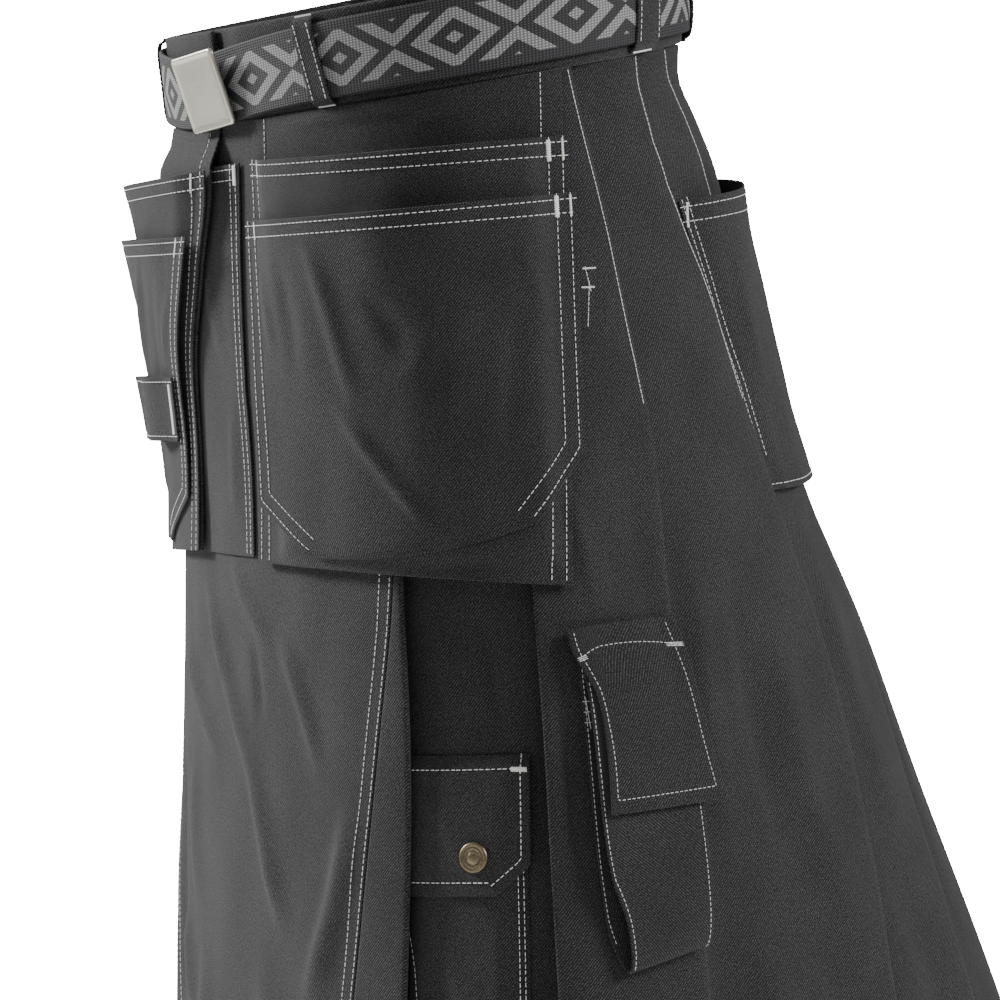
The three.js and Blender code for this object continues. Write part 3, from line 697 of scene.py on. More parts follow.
def side_path(drop):
    """Middle line of the side at each drop: round the box pleat's rear edge, then for each
    knife pleat its face, its fold, the return below and the fold at the back of it."""
    opened = pleat_open(drop)
    depth = mix(7.5, 12.5, ease((drop - WAIST_FOOT) / 300))
    rear, under, sink = edge_at(SIDE_EDGE, drop), box_under(drop), box_open(drop) * BOX_SINK
    path = [(rear + under, -LAYER - sink), (rear + under / 2, -LAYER - sink / 2),
            *fold(rear, -LAYER + 0 * drop, LAYER, -1, per_degree(rear, drop))]
    start, low = rear + 1, 0 * drop
    for pleat in range(PLEAT_COUNT):
        to = edge_at(FIRST_PLEAT + pleat, drop)
        scale = per_degree(to, drop)
        high = opened * PLEAT_LIFT
        inside = to - np.minimum(depth, to - start - 1.2)
        level = mix(low, high, (inside - start) / (to - start))
        half = mix(start, inside, 0.5)
        path += [(half, mix(low, high, (half - start) / (to - start))), (inside, level),
                 *fold(to, high, -LAYER, 1, scale), *fold(inside, level - LAYER, -LAYER, -1, scale),
                 (to, high - 2 * LAYER)]
        low = high - 2 * LAYER - opened * PLEAT_SINK
        start = to + PLEAT_STEP
        path.append((start, low))
    centre = 180 - SEAM / 2 / per_degree(180, drop)
    return [*path, (mix(start, centre, 0.5), low), (centre, low)]


def side_rise(angle, drop):
    """Stand-off of the middle of the side's outer layer at an angle."""
    start, low = edge_at(SIDE_EDGE, drop) + 1, 0.0
    rise = 0.0 * (angle + drop)
    opened = pleat_open(drop)
    for pleat in range(PLEAT_COUNT):
        to = edge_at(FIRST_PLEAT + pleat, drop)
        high = opened * PLEAT_LIFT
        here = mix(low, high, np.clip((angle - start) / (to - start), 0, 1))
        rise = np.where(angle > start - PLEAT_STEP, here, rise)
        low = high - 2 * LAYER - opened * PLEAT_SINK
        start = to + PLEAT_STEP
    return np.where(angle > start - PLEAT_STEP, low, rise)


pleat_rows = [(FIRST_PLEAT, 26, 188), (FIRST_PLEAT + 1, 26, 186), (FIRST_PLEAT + 2, 26, 180)]
for word, side in SIDES:
    def side_face(angle, drop, side=side):
        """Outer face of the pleated side."""
        rise = side_rise(side * angle, drop) + CLOTH / 2
        return place(angle, drop, rise + drape(angle, drop))

    lines = []
    for column, top, foot in pleat_rows:
        row = np.linspace(top, foot, 9)
        fold_edge = edge_at(column, row)
        inset_edge = fold_edge - EDGE_STITCH / per_degree(fold_edge, row)
        lines.append(np.stack([side * inset_edge, row], -1))
    tacks = []
    if side == 1:
        lines.append([(92.3, 128), (91.6, 151)])
        lines.append([(91.6, 121), (92.6, 134)])
        tacks = [(92.4, 122, 7, False, 0.9), (92.0, 131, 7, False, 0.9)]
    pleats, middle = folded(f"pleated_side_{word}_cloth", side_path, side)
    rows = sew(f"pleated_side_{word}_stitching", side_face, lines, tacks, EDGE_PITCH, EDGE_DASH)
    fit(pleats, f"pleated_side_{word}", [rows])


# Belt loops
# Doubled strips sewn to the waistband above and below the belt, which stands each one off.
# Name, angle, width in degrees and slant in degrees from top to foot
LOOPS = [("front", 35.5, 4.6, 3), ("side", 113, 8.6, -2), ("rear", 150, 17, 0)]
LOOP_HIGH, LOOP_ROW, LOOP_TACK, LOOP_INSET = 50.0, 20.5, 23.9, 2.2
LOOP_LINE = np.array([(-24.6, 2.4), (-23.2, 2.4), (-21.6, 6.7), (0, 6.7), (21.6, 6.7),
                      (23.2, 2.4), (24.6, 2.4)])


def finer(line, step):
    """Rounds a line's corners and splits its spans to about the given step."""
    line = rounded(np.asarray(line, float)[None], 2)[0]
    length = running(line[:, :2])
    at = np.linspace(0, length[-1], max(8, int(length[-1] / step)))
    return np.stack(read_off(at, length, line), -1), at


for name, angle, wide, slant in LOOPS:
    for word, side in SIDES:
        line, length = finer(LOOP_LINE, 1.0)
        edge_down = np.minimum(length, length[-1] - length)
        line = np.concatenate([line[:1], line], 0)
        edge_down = np.concatenate([[0], np.maximum(edge_down, 0.1)])
        edge_down[-1] = 0
        loop_width = wide * per_degree(angle, 0)
        across = near_ends(14, loop_width, TRIM / 2)
        turn = side * (angle + slant * line[:, :1] / LOOP_HIGH) + (across / loop_width - 0.5) * wide
        middle = place(turn, line[:, :1], line[:, 1:])
        edge = np.minimum(np.minimum(across, across[::-1])[None, :], edge_down[:, None])
        loop_uv = MM * np.stack(np.broadcast_arrays(across[None, :], -np.concatenate(
            [[0], length])[:, None]), -1)
        loop = shell(f"belt_loop_{name}_{word}_cloth", twill, middle, TRIM, loop_uv, edge)

        def loop_face(turn, drop, side=side):
            """Outer face of the strip over the belt and at its sewn ends."""
            out = np.interp(drop, LOOP_LINE[:, 0], LOOP_LINE[:, 1])
            return place(turn, drop, out + TRIM / 2)
        half = wide / 2 - LOOP_INSET / per_degree(angle, 0)
        rows = [[(side * (angle + slant * d / LOOP_HIGH) + s * half, d)
                 for d in (-LOOP_ROW, 0, LOOP_ROW)] for s in (-1, 1)]
        ends = [(side * (angle + slant * d / LOOP_HIGH), d, 0.8 * loop_width, False, 1.3)
                for d in (-LOOP_TACK, LOOP_TACK)]
        rows = sew(f"belt_loop_{name}_{word}_stitching", loop_face, rows, ends)
        fit(loop, f"belt_loop_{name}_{word}", [rows])


# Holsters
# A panel that hangs from the waistband's seam, a pocket on it and an outer pocket on that one,
# each with a turned and twice stitched mouth. The right one mirrors the left, swung towards the
# centre, and has a tool loop strap.
HOLSTER_PANEL = [(0, 17, 88.5, 25.3, 25.3), (1, 13.3, 84.5, 266, 273)]
HOLSTER_POCKET = [(0, 17, 89, 48.5, 57.5), (1, 13.3, 84.5, 266, 273)]
HOLSTER_OUTER = [(0, 17.8, 89.6, 85, 85), (0.8, 17, 88.9, 236, 208), (1, 29, 77, 262, 243)]
OUTER_BOW = 6
SWING = [(25, 23, 0), (56, 23.5, 4), (106, 17.5, 7), (150, 11, 7), (208, 7, 2), (273, 4.5, -4)]
TOOL_FROM, TOOL_TACK, TOOL_TO, TOOL_TOP, TOOL_FOOT, TOOL_HIGH = 19.5, 39.0, 63.0, 165.0, 204.0, 7.5
REST, SLACK = 1.25, 0.4
HEM_ROWS = (3.0, 9.7)
POCKET_PITCH, POCKET_DASH = 3.3, 2.4
MOUTH_TACKS = [("left", 1, 1.0), ("right", 1, 2.3), ("right", 0, 1.2)]  # edge, hem row, width
TACK_BELOW, TACK_LONG = 6.3, 10.5
# Left and right angle, upper and lower drop that a pocket's fullness is spread over
POCKET_SPAN, OUTER_SPAN = (15.2, 86.8, 55.0, 271.0), (17.4, 89.2, 85.0, 251.0)
CLEAR_HIGH, CLEAR_LOW = 7.0, 1.4  # how far the right holster hangs clear, at its top and foot


def stay(angle, drop):
    """A piece that hangs where it is drawn."""
    return angle, drop


def swung(angle, drop):
    """The right holster's place: mirrored, swung to the centre and lower."""
    return -angle + smooth(SWING, 1, drop), drop + smooth(SWING, 2, drop)


class Patch:
    """A flat piece laid over the form. Its outline's rows are share down, left and right angle,
    left and right drop; bow lowers the middle of its foot; lift gives its back's stand-off."""

    def __init__(self, rows, lift, thick=TRIM, bow=0.0, turn=stay, folds=()):
        self.rows, self.bow, self.turn = np.asarray(rows, float), bow, turn
        self.lift, self.thick, self.folds = lift, thick, folds

    def spot(self, across, down):
        """Angle and drop at a share across and down."""
        left, right, high, low = read_off(down, self.rows[:, 0], self.rows[:, 1:])
        bowed = 4 * self.bow * across * (1 - across) * down**3
        return mix(left, right, across), mix(high, low, across) + bowed

    def share(self, angle, drop):
        """Share across and down at an angle and drop, by repeated correction."""
        down = np.full(np.broadcast(angle, drop).shape, 0.5)
        tall = np.mean(self.rows[-1, 3:] - self.rows[0, 3:])
        for _ in range(14):
            left, right = read_off(down, self.rows[:, 0], self.rows[:, 1:3])
            across = (angle - left) / (right - left)
            down = np.clip(down + (drop - self.spot(across, down)[1]) / tall, -0.1, 1.1)
        return across, down

    def stand(self, angle, drop, across, down):
        """Stand-off of the outer face: lift, thickness and the piece's own folds, which fade at
        its edges."""
        calm = ease(8 * np.clip(np.minimum(across, 1 - across), 0, 1)) * ease(8 * (1 - down))
        soft = creases(self.folds, angle, drop) if len(self.folds) else 0
        return self.lift(angle, drop, across, down) + self.thick + calm * soft

    def face(self, angle, drop):
        """Point on the outer face."""
        out = self.stand(angle, drop, *self.share(angle, drop))
        at = self.turn(angle, drop)
        return place(*at, out + drape(*at))

    def line(self, which, inset, start=0.0, end=1.0):
        """A line at a distance inside one edge, its corners mitred."""
        if which in ("top", "foot"):
            share = np.linspace(start, end, 9)
            angle, drop = self.spot(share, float(which == "foot"))
            return np.stack([angle, drop + (inset if which == "top" else -inset)], -1)
        side = 0.0 if which == "left" else 1.0
        angle, drop = self.spot(side, self.rows[:, 0])
        scale = per_degree(*self.turn(angle, drop))
        flat = np.stack([angle * scale.mean(), drop], -1)
        way = unit(np.diff(flat, axis=0))
        square = np.stack([way[:, 1], -way[:, 0]], -1) * (1 if side == 0 else -1)
        before, after = np.concatenate([square[:1], square]), np.concatenate([square, square[-1:]])
        mitre = (before + after) / (1 + np.sum(before * after, 1, keepdims=True))
        moved = flat + inset * mitre
        moved[:, 0] /= scale.mean()
        down = np.interp(np.linspace(start, end, 25), [0, 1], [0, len(moved) - 1])
        down = np.sort(np.concatenate([down, np.arange(1, len(moved) - 1)]))
        return np.stack(read_off(down, np.arange(len(moved)), moved), -1)

    def beside(self, which, inset, below):
        """A place at a distance inside one side edge and below the mouth there."""
        row = self.line(which, inset)
        drop = self.rows[0, 3 if which == "left" else 4] + below
        return float(np.interp(drop, row[:, 1], row[:, 0])), drop

    def make(self, name, lines, step):
        """The shell, pressed in along its stitch lines, and its middle grid."""
        middle_angle, middle_drop = self.spot(0.5, 0.5)
        wide = float(np.ptp(self.rows[:, 1:3])) * per_degree(*self.turn(middle_angle, middle_drop))
        tall = float(np.ptp(self.rows[:, 3:]))
        across = near_ends(int(wide / step), wide, self.thick / 2) / wide
        down = near_ends(int(tall / step), tall, self.thick / 2) / tall
        down = np.sort(np.concatenate([down, self.rows[1:-1, 0]]))
        across, down = across[None, :], down[:, None]
        angle, drop = self.spot(across, down)
        out = self.stand(angle, drop, across, down)
        at = self.turn(angle, drop)
        out = out + drape(*at)
        middle = (place(*at, out) + place(*at, out - self.thick)) / 2
        x, y = angle * per_degree(*at), drop
        press = np.zeros(x.shape)
        for line in lines:
            line = np.asarray(line, float)
            line_x = line[:, 0] * per_degree(*self.turn(line[:, 0], line[:, 1]))
            near = np.full(x.shape, 1e6)
            for k in range(len(line) - 1):
                run_x, run_y = line_x[k + 1] - line_x[k], line[k + 1, 1] - line[k, 1]
                t = np.clip(((x - line_x[k]) * run_x + (y - line[k, 1]) * run_y)
                            / max(run_x**2 + run_y**2, 1e-9), 0, 1)
                near = np.minimum(near, np.hypot(x - line_x[k] - t * run_x,
                                                 y - line[k, 1] - t * run_y))
            press += 0.28 * np.exp(-((near / 1.3) ** 2)) * (1 + 0.5 * np.sin(0.35 * x + 0.3 * y))
        edge = np.minimum(np.minimum(across, 1 - across) * wide, np.minimum(down, 1 - down) * tall)
        uv = flat_uv(middle, drop)
        press = np.minimum(press, 0.4 * self.thick)
        return shell(name, twill, middle, self.thick, uv, edge, press), middle


def lay(patch, name, lines, tacks=(), cad_node=None, spacing=(PITCH, DASH),
        step=2.5):
    """A patch's cloth and thread, which stand for the CAD node of that name or the given one."""
    obj, middle = patch.make(f"{name}_cloth", lines, step)
    rows = sew(f"{name}_stitching", patch.face, lines, tacks, *spacing)
    fit(obj, cad_node or name, [rows])


def hang(drop):
    """A holster panel's stand-off: it leaves the skirt a little towards its foot."""
    return REST + 2.2 * (drop / 273) ** 2


def rimmed(across, down, loose=0.0):
    """0 over a pocket's sewn edges as far as their inner stitch row, then up to 1; a loose left
    edge stands off."""
    side = np.minimum(across + loose, 1 - across)
    return np.minimum(ease((side - 0.045) / 0.075), ease((0.98 - down) * 18))


def shares(angle, drop, span):
    """Share across and down a span of left and right angle, upper and lower drop."""
    left, right, high, low = span
    return (angle - left) / (right - left), (drop - high) / (low - high)


def pocket_stand(angle, drop, gape, fall, ledge, loose=0.0):
    """How far a pocket stands off its panel: a ledge inside the edges and its gaping mouth."""
    across, down = (np.clip(share, 0, 1) for share in shares(angle, drop, POCKET_SPAN))
    mouth = gape * np.sin(np.pi * across) * (1 - down) ** fall
    return mix(ledge[0], ledge[1], ease(1.6 * down - 0.4)) * rimmed(across, down, loose) + mouth


LEFT = dict(word="left", gape=9, fall=1.4, outer_gape=13, ledge=(4.6, 4.6), loose=0, turn=stay)
RIGHT = dict(word="right", gape=12.5, fall=5, outer_gape=6, ledge=(4.6, 0.5), loose=0.3,
             turn=swung)
PANEL_FOLDS = [(22, 34, 60, 30, 5, 1.1), (52, 40, 84, 34, 5, 0.9)]
POCKET_FOLDS = [(30, 70, 50, 100, 8, 0.8)]
OUTER_FOLDS = [
    (35, 88, 44, 195, 6, 2.2),
    (21.5, 112, 24.5, 165, 3, 1.8),
    (37, 182, 57, 253, 5, 2.2),
    (50, 175, 72, 130, 12, 1.5),
    (66, 120, 60, 215, 10, 1.4),
    (46, 120, 55, 170, 8, -1.2),
    (76, 130, 70, 215, 7, -1.3),
    (28, 100, 31, 180, 6, -1.2),
    (74, 96, 82, 150, 5, 1.2),
]
for holster in (LEFT, RIGHT):
    word, turn = holster["word"], holster["turn"]

    def off(drop, word=word):
        """The right holster swings clear of the skirt below the waist."""
        if word == "left":
            return 0 * drop
        return mix(CLEAR_HIGH, CLEAR_LOW, ease((drop - 80) / 150)) * ease((drop - 29) / 20)

    def panel_lift(angle, drop, across=0, down=0):
        """Back of the panel."""
        return hang(drop) + off(drop) + 0 * angle

    def pocket_base(angle, drop):
        """Where the pocket's back would lie flat on its panel."""
        return panel_lift(angle, drop) + TRIM + SEAM + holster["loose"]

    def pocket_lift(angle, drop, across=0, down=0, loose=0.0):
        """Back of the pocket."""
        sizes = (holster[size] for size in ("gape", "fall", "ledge"))
        return pocket_base(angle, drop) + pocket_stand(angle, drop, *sizes, loose)

    def outer_lift(angle, drop, across, down):
        """Back of the outer pocket: on the pocket at its edges, gaping at its mouth."""
        flat = pocket_lift(angle, drop, loose=0.12) + TRIM + SEAM + SLACK
        fall = np.clip(1 - down, 0, 1) ** 1.3
        bell = np.sin(np.pi * np.clip(across, 0, 1)) * ease(7 * np.minimum(across, 1 - across))
        return flat + holster["outer_gape"] * bell * fall

    panel = Patch(HOLSTER_PANEL, panel_lift, turn=turn, folds=PANEL_FOLDS)
    lay(panel, f"holster_{word}_panel",
        [panel.line("left", 11.5), panel.line("right", 10.5), panel.line("left", 3.0, 0.8, 1.0)])
    pocket = Patch(HOLSTER_POCKET, pocket_lift, turn=turn, folds=POCKET_FOLDS)
    outer = Patch(HOLSTER_OUTER, outer_lift, bow=OUTER_BOW, turn=turn, folds=OUTER_FOLDS)
    for patch, name, under_it in ((pocket, "pocket", "panel"), (outer, "outer_pocket", "pocket")):
        lines = [patch.line(which, inset) for which in ("top", "left", "right")
                 for inset in HEM_ROWS]
        tacks = [(*patch.beside(which, HEM_ROWS[row], TACK_BELOW), TACK_LONG, True, wide)
                 for which, row, wide in MOUTH_TACKS]
        lay(patch, f"holster_{word}_{name}", lines, tacks,
            spacing=(POCKET_PITCH, POCKET_DASH))

# The tool loop strap, tacked across the right outer pocket at three places


def strap_lift(angle, drop, across, down):
    """Back of the strap: over the outer pocket, humped between its tacks."""
    under_it = outer_lift(angle, drop, *shares(angle, drop, OUTER_SPAN)) + TRIM + SEAM
    first = (angle - TOOL_FROM) / (TOOL_TACK - TOOL_FROM)
    second = (angle - TOOL_TACK) / (TOOL_TO - TOOL_TACK)
    hump = np.sin(np.pi * np.clip(np.where(angle < TOOL_TACK, first, second), 0, 1)) ** 2
    return under_it + SEAM + SLACK + TOOL_HIGH * hump


strap = Patch([(0, TOOL_FROM, TOOL_TO, TOOL_TOP, TOOL_TOP),
               (1, TOOL_FROM, TOOL_TO, TOOL_FOOT, TOOL_FOOT)], strap_lift, CLOTH, turn=swung)
tool_middle = (TOOL_TOP + TOOL_FOOT) / 2
tacks = [(spot, tool_middle, 30) for spot in (TOOL_FROM + 1.4, TOOL_TACK, TOOL_TO - 1.4)]
lay(strap, "tool_loop", [strap.line("top", 3), strap.line("foot", 3)],
    tacks, "holster_right_tool_loop")


# Front inner pocket
# A flat pocket on the apron behind the right holster, its free edge twice stitched and wavy.
INNER = [(0, -30, 12.2, 52, 50), (0.3, -30, 11.2, 117, 117), (0.6, -30, 9.8, 180, 180),
         (1, -30, 9.8, 262, 264)]


def inner_lift(angle, drop, across, down):
    """Back of the pocket: it gapes at its mouth."""
    across, down = np.clip(across, 0, 1), np.clip(down, 0, 1)
    return REST + 5.4 * np.sin(np.pi * across) ** 0.7 * (1 - down) ** 1.2


inner = Patch(INNER, inner_lift, folds=[(-2, 70, 4, 170, 6, 1.2), (6, 180, 3, 250, 5, 1.0)])
lines = [inner.line("top", 3), inner.line("top", 9.5), inner.line("right", 2.5),
         inner.line("right", 6.5)]
lay(inner, "front_inner_pocket", lines, [(11, 57, 12)])


# Cargo pocket
# A patch pocket on the left box pleat's floor, closed by a flap with a chamfered corner and an
# antique brass snap.
FLOOR_FACE = -BOX_FLOOR + CLOTH / 2 + SEAM
CARGO_STAND = 2.6
FLAP_LIFT = FLOOR_FACE + CARGO_STAND + TRIM + SEAM + SLACK


def cargo_lift(angle, drop, across, down):
    """Back of the pocket: sewn at its edges and full between."""
    full = ease(np.sin(np.pi * np.clip(across, 0, 1)) * 2.2) * ease((1 - down) * 8)
    return FLOOR_FACE + CARGO_STAND * full


def flap_lift(angle, drop, across, down):
    """Back of the flap: sewn down at its top edge, then over the pocket."""
    return mix(FLOOR_FACE, FLAP_LIFT, ease(down * 8)) + 0 * angle


cargo = Patch([(0, 43.5, 71, 366, 366), (1, 40, 69, 548, 548)], cargo_lift,
              folds=[(50, 430, 60, 520, 9, 1.2), (64, 425, 60, 500, 7, 0.9)])
lines = [cargo.line("right", 2.5), cargo.line("right", 5.2), cargo.line("foot", 3.0),
         [(41.5, 433), (43.4, 458), (44.6, 490), (44.8, 545)]]
lay(cargo, "cargo_pocket", lines, cad_node="cargo_pocket_left")

flap = Patch([(0, 43.5, 72.5, 356, 353), (0.78, 43.1, 71.6, 408, 405), (1, 43, 63, 422, 420)],
             flap_lift, folds=[(50, 372, 56, 412, 7, 0.6)])
lines = [flap.line("top", 6.5), flap.line("right", 5.0), flap.line("foot", 6.5, 0.0, 0.93)]
lay(flap, "cargo_flap", lines, [(69.6, 360.2, 8, False)],
    "cargo_flap_left", step=1.5)

# Antique brass: a pressed cap, its colour mottled at random between darkened and rubbed bright
# brass
brass, tree, shader = new_material("antique brass", Metallic=1.0, Roughness=0.42)
place_in = node(tree, "ShaderNodeTexCoord")
wear = node(tree, "ShaderNodeTexNoise", [("Vector", place_in.outputs["Object"])], Scale=900,
            Detail=3)
worn = node(tree, "ShaderNodeMix", [("Factor", wear.outputs["Fac"])], data_type="RGBA",
            A=colour("4b4231"), B=colour("a3957a"))
tree.links.new(worn.outputs["Result"], shader.inputs["Base Color"])

SNAP_RADIUS, SNAP_THICK, SNAP_ANGLE, SNAP_DROP = 7.5, 2.6, 58.5, 402.0
SNAP_PROFILE = [  # radius and height as shares of the cap's
    (0, 0), (0.98, 0), (1, 0.25), (0.98, 0.55), (0.92, 0.72), (0.84, 0.8), (0.78, 0.74),
    (0.72, 0.66), (0.66, 0.7), (0.6, 0.76), (0.54, 0.68), (0.46, 0.62), (0.4, 0.68), (0.3, 0.84),
    (0.16, 0.9), (0, 0.92),
]


def facing(angle, drop, out):
    """Origin and axes (level, up, outwards) of a flat thing placed on the form."""
    origin = place(angle, drop, out)
    up = unit(place(angle, drop - 1, out) - place(angle, drop + 1, out))
    level = place(angle + 1, drop, out) - place(angle - 1, drop, out)
    outwards = unit(np.cross(level, up))
    return origin, np.cross(up, outwards), up, outwards


def from_rings(name, material, rings):
    """A body whose surface runs from ring to ring, the first and the last drawn to a point."""
    ids = np.arange(rings.shape[0] * rings.shape[1]).reshape(rings.shape[:2])
    return new_mesh(name, material, rings.reshape(-1, 3), quads(wrapped(ids).T))


snap_out = FLAP_LIFT + TRIM + SEAM + float(drape(SNAP_ANGLE, SNAP_DROP))
origin, level, up, outwards = facing(SNAP_ANGLE, SNAP_DROP, snap_out)
spin = np.linspace(0, 2 * np.pi, 41)[:-1]
profile = MM * np.array(SNAP_PROFILE) * [SNAP_RADIUS, SNAP_THICK]
ring_points = (origin + profile[:, None, :1] * (np.cos(spin)[None, :, None] * level
                                                + np.sin(spin)[None, :, None] * up)
               + profile[:, None, 1:] * outwards)
fit(from_rings("cargo_snap_cap", brass, ring_points), "cargo_snap_left")


# Hammer loop
# A doubled strap that hangs down the side and turns up again as an open loop, with a square
# flap sewn over its head.
LOOP_STRAP = [  # drop, out, left and right angle, how much higher its right edge is
    (304, 1.9, 85.4, 100.4, 4), (350, 2.0, 87, 100.4, 5), (400, 2.4, 87.9, 100.2, 7),
    (424, 2.6, 89.1, 100, 8), (446, 2.8, 90.4, 99.8, 9), (459, 6.6, 91.5, 100, 10),
    (448, 11.6, 91.5, 100.2, 10), (426, 12.4, 90.9, 100.4, 9), (400, 12.8, 88.3, 100.5, 8),
    (350, 11.8, 87.3, 100.5, 6), (322, 9, 86.6, 100.5, 5), (309, 5, 85.6, 100.4, 4),
]
HAMMER_FLAP = [
    (294, 4.6, 82.6, 100.8, 6), (304, 7.4, 83.2, 101.2, 6), (314, 9.8, 86, 101.4, 6),
    (326, 12, 88.6, 101.6, 6), (352, 14.6, 89.4, 102, 5.5), (381, 16.4, 89.2, 103, 5),
]


def side_ground(angle, drop):
    """Stand-off of the side panel in front of the first knife pleat."""
    start = edge_at(SIDE_EDGE, drop) + 1
    share = (angle - start) / (edge_at(FIRST_PLEAT, drop) - start)
    return pleat_open(drop) * PLEAT_LIFT * np.clip(share, 0, 1)


def band(name, table, thick, step=2.3):
    """A strap along a line of drop and out, with its two edges' angles and its tilt; returns the
    object, its middle grid and a function from shares along and across to its outer face."""
    line, length = finer(table, step)
    long = length[-1]
    along = near_ends(len(length), long, thick / 2)
    wide = float(np.mean(line[:, 3] - line[:, 2])) * per_degree(95, 350)
    across = near_ends(int(wide / step), wide, thick / 2) / wide

    def sheet_at(at, share):
        """Point of the strap's middle at a length along it and a share across it."""
        drop, out, left, right, tilt = read_off(at, length, line)
        angle = mix(left, right, share)
        low = drop - tilt * share
        return place(angle, low, out + side_ground(angle, low) + drape(angle, low))

    middle = sheet_at(along[:, None], across[None, :])
    edge = np.minimum(np.minimum(across, 1 - across)[None, :] * wide,
                      np.minimum(along, long - along)[:, None])
    uv = MM * np.stack(np.broadcast_arrays(across[None, :] * wide, -along[:, None]), -1)
    obj = shell(name, twill, middle, thick, uv, edge)

    def face_at(across_mm, along_mm, way=1):
        """Point on one face of the strap: its middle plus half the thickness square to it."""
        share = across_mm / wide
        centre = sheet_at(along_mm, share)
        d_along = sheet_at(along_mm + 0.5, share) - sheet_at(along_mm - 0.5, share)
        d_across = sheet_at(along_mm, share + 0.02) - sheet_at(along_mm, share - 0.02)
        return centre + 0.5 * way * MM * thick * unit(np.cross(d_along, d_across))
    return obj, middle, face_at, wide, long


obj, middle, loop_at, wide, long = band("hammer_loop_cloth", LOOP_STRAP, CLOTH)


def front_at(across_mm, along_mm):
    """Point on the face that the turned-up leg shows."""
    return loop_at(across_mm, along_mm, -1)


def strap_rows(name, sets, wide=0.42):
    """Stitch rows on a strap: each set has a face, which takes millimetres across and along,
    its lines, and pairs of ends for single long threads."""
    objects = []
    for number, (at, lines, bars) in enumerate(sets):
        pairs = [run(at, line, 2.6, 1.8) for line in lines]
        pairs += [(np.array([bar[:2]], float), np.array([bar[2:]], float)) for bar in bars]
        starts, ends = zip(*pairs)
        objects.append(threads(f"{name}_{number}", at, np.concatenate(starts),
                               np.concatenate(ends), wide))
    return objects


STRAP_ROW = 2.2
foot = 0.5 * long - 4
near, far = STRAP_ROW, wide - STRAP_ROW
rows = strap_rows("hammer_loop_stitching", [
    (loop_at, [[(near, 6), (near, foot - 6)], [(far, 6), (far, foot - 6)]],
     [(-0.4, 24 + 5 * k, 6.5, 24.5 + 5 * k) for k in range(3)] + [(2.6, 22, 5.2, 38)]),
    (front_at, [[(near, foot + 8), (near, long - 8)], [(far, foot + 6), (far, long - 8)]], []),
])
fit(obj, "hammer_loop_left", rows)

obj, middle, flap_at, wide, long = band("hammer_flap_cloth", HAMMER_FLAP, CLOTH)
bow = [(1 + (wide - 2) * s, 15 - 5 * 4 * s * (1 - s)) for s in np.linspace(0, 1, 9)]
rows = strap_rows("hammer_flap_stitching", [
    (flap_at, [[(5, 2), (5, long - 6.5), (wide - 5, long - 6.5), (wide - 5, 2)], bow],
     [(0.6, 14 + 0.75 * k, 9.2, 13.2 + 0.75 * k) for k in range(3)]
     + [(wide - 9.2, 12.8 + 0.75 * k, wide - 0.6, 13.6 + 0.75 * k) for k in range(3)])])
fit(obj, "hammer_flap_left", rows)


# Back pockets
# Patch pockets over the pleats behind the hips, whose mouths stand open.
BACK = [(0, 118.8, 163, 94, 86), (0.3, 123.6, 164.5, 135.5, 128),
        (0.62, 127.8, 165.5, 180, 175), (0.88, 128.8, 164.5, 215, 209),
        (1, 130.5, 156.5, 230, 222)]


def back_lift(angle, drop, across, down):
    """Back of the pocket: its front edge lies beside the pleat's fold and lower than it; full
    inside its edges, gaping at its mouth."""
    across, down = np.clip(across, 0, 1), np.clip(down, 0, 1)
    bell = np.sin(np.pi * across)
    return mix(-3.2, REST, ease(across * 3)) + 3 * ease(bell * 2.5) + 8 * bell * (1 - down) ** 1.2


for word, side in SIDES:
    def mirrored(angle, drop, side=side):
        """The pocket's own side."""
        return side * angle, drop

    patch = Patch(BACK, back_lift, turn=mirrored,
                  folds=[(130, 110, 136, 190, 7, 1.3), (150, 105, 145, 200, 8, 1.1)])
    lines = [patch.line(which, inset) for which in ("top", "right") for inset in HEM_ROWS]
    lines += [patch.line("left", inset, 0.0, 0.27) for inset in (2.0, 5.6)]
    lines.append(patch.line("foot", 3.0))
    tacks = [(*patch.beside(which, HEM_ROWS[0], TACK_BELOW), 11, True, 1.4)
             for which in ("left", "right")]
    lay(patch, f"back_pocket_{word}", lines, tacks)


# Buckle
# A pressed plate over the belt's end, satin nickel, with a rolled edge and a bare face.
PLATE_WIDE, PLATE_HIGH, PLATE_CORNER = 44.5, 39.5, 3.0
PLATE_ANGLE, PLATE_DROP, PLATE_STAND, PLATE_ROLL, PLATE_TILT = 7.1, 5.3, 9.2, 3.6, 9.5
nickel, tree, shader = new_material("satin nickel", Metallic=1.0, Roughness=0.34,
                                    Base_Color=colour("dedbcd"))
place_in = node(tree, "ShaderNodeTexCoord")
brushed = node(tree, "ShaderNodeMapping", [("Vector", place_in.outputs["Object"])],
               Scale=(60, 60, 2600))
lines_in = node(tree, "ShaderNodeTexNoise", [("Vector", brushed.outputs[0])], Scale=1, Detail=3)
shine = node(tree, "ShaderNodeMapRange", [("Value", lines_in.outputs["Fac"])], To_Min=0.28,
             To_Max=0.44)
tree.links.new(shine.outputs["Result"], shader.inputs["Roughness"])

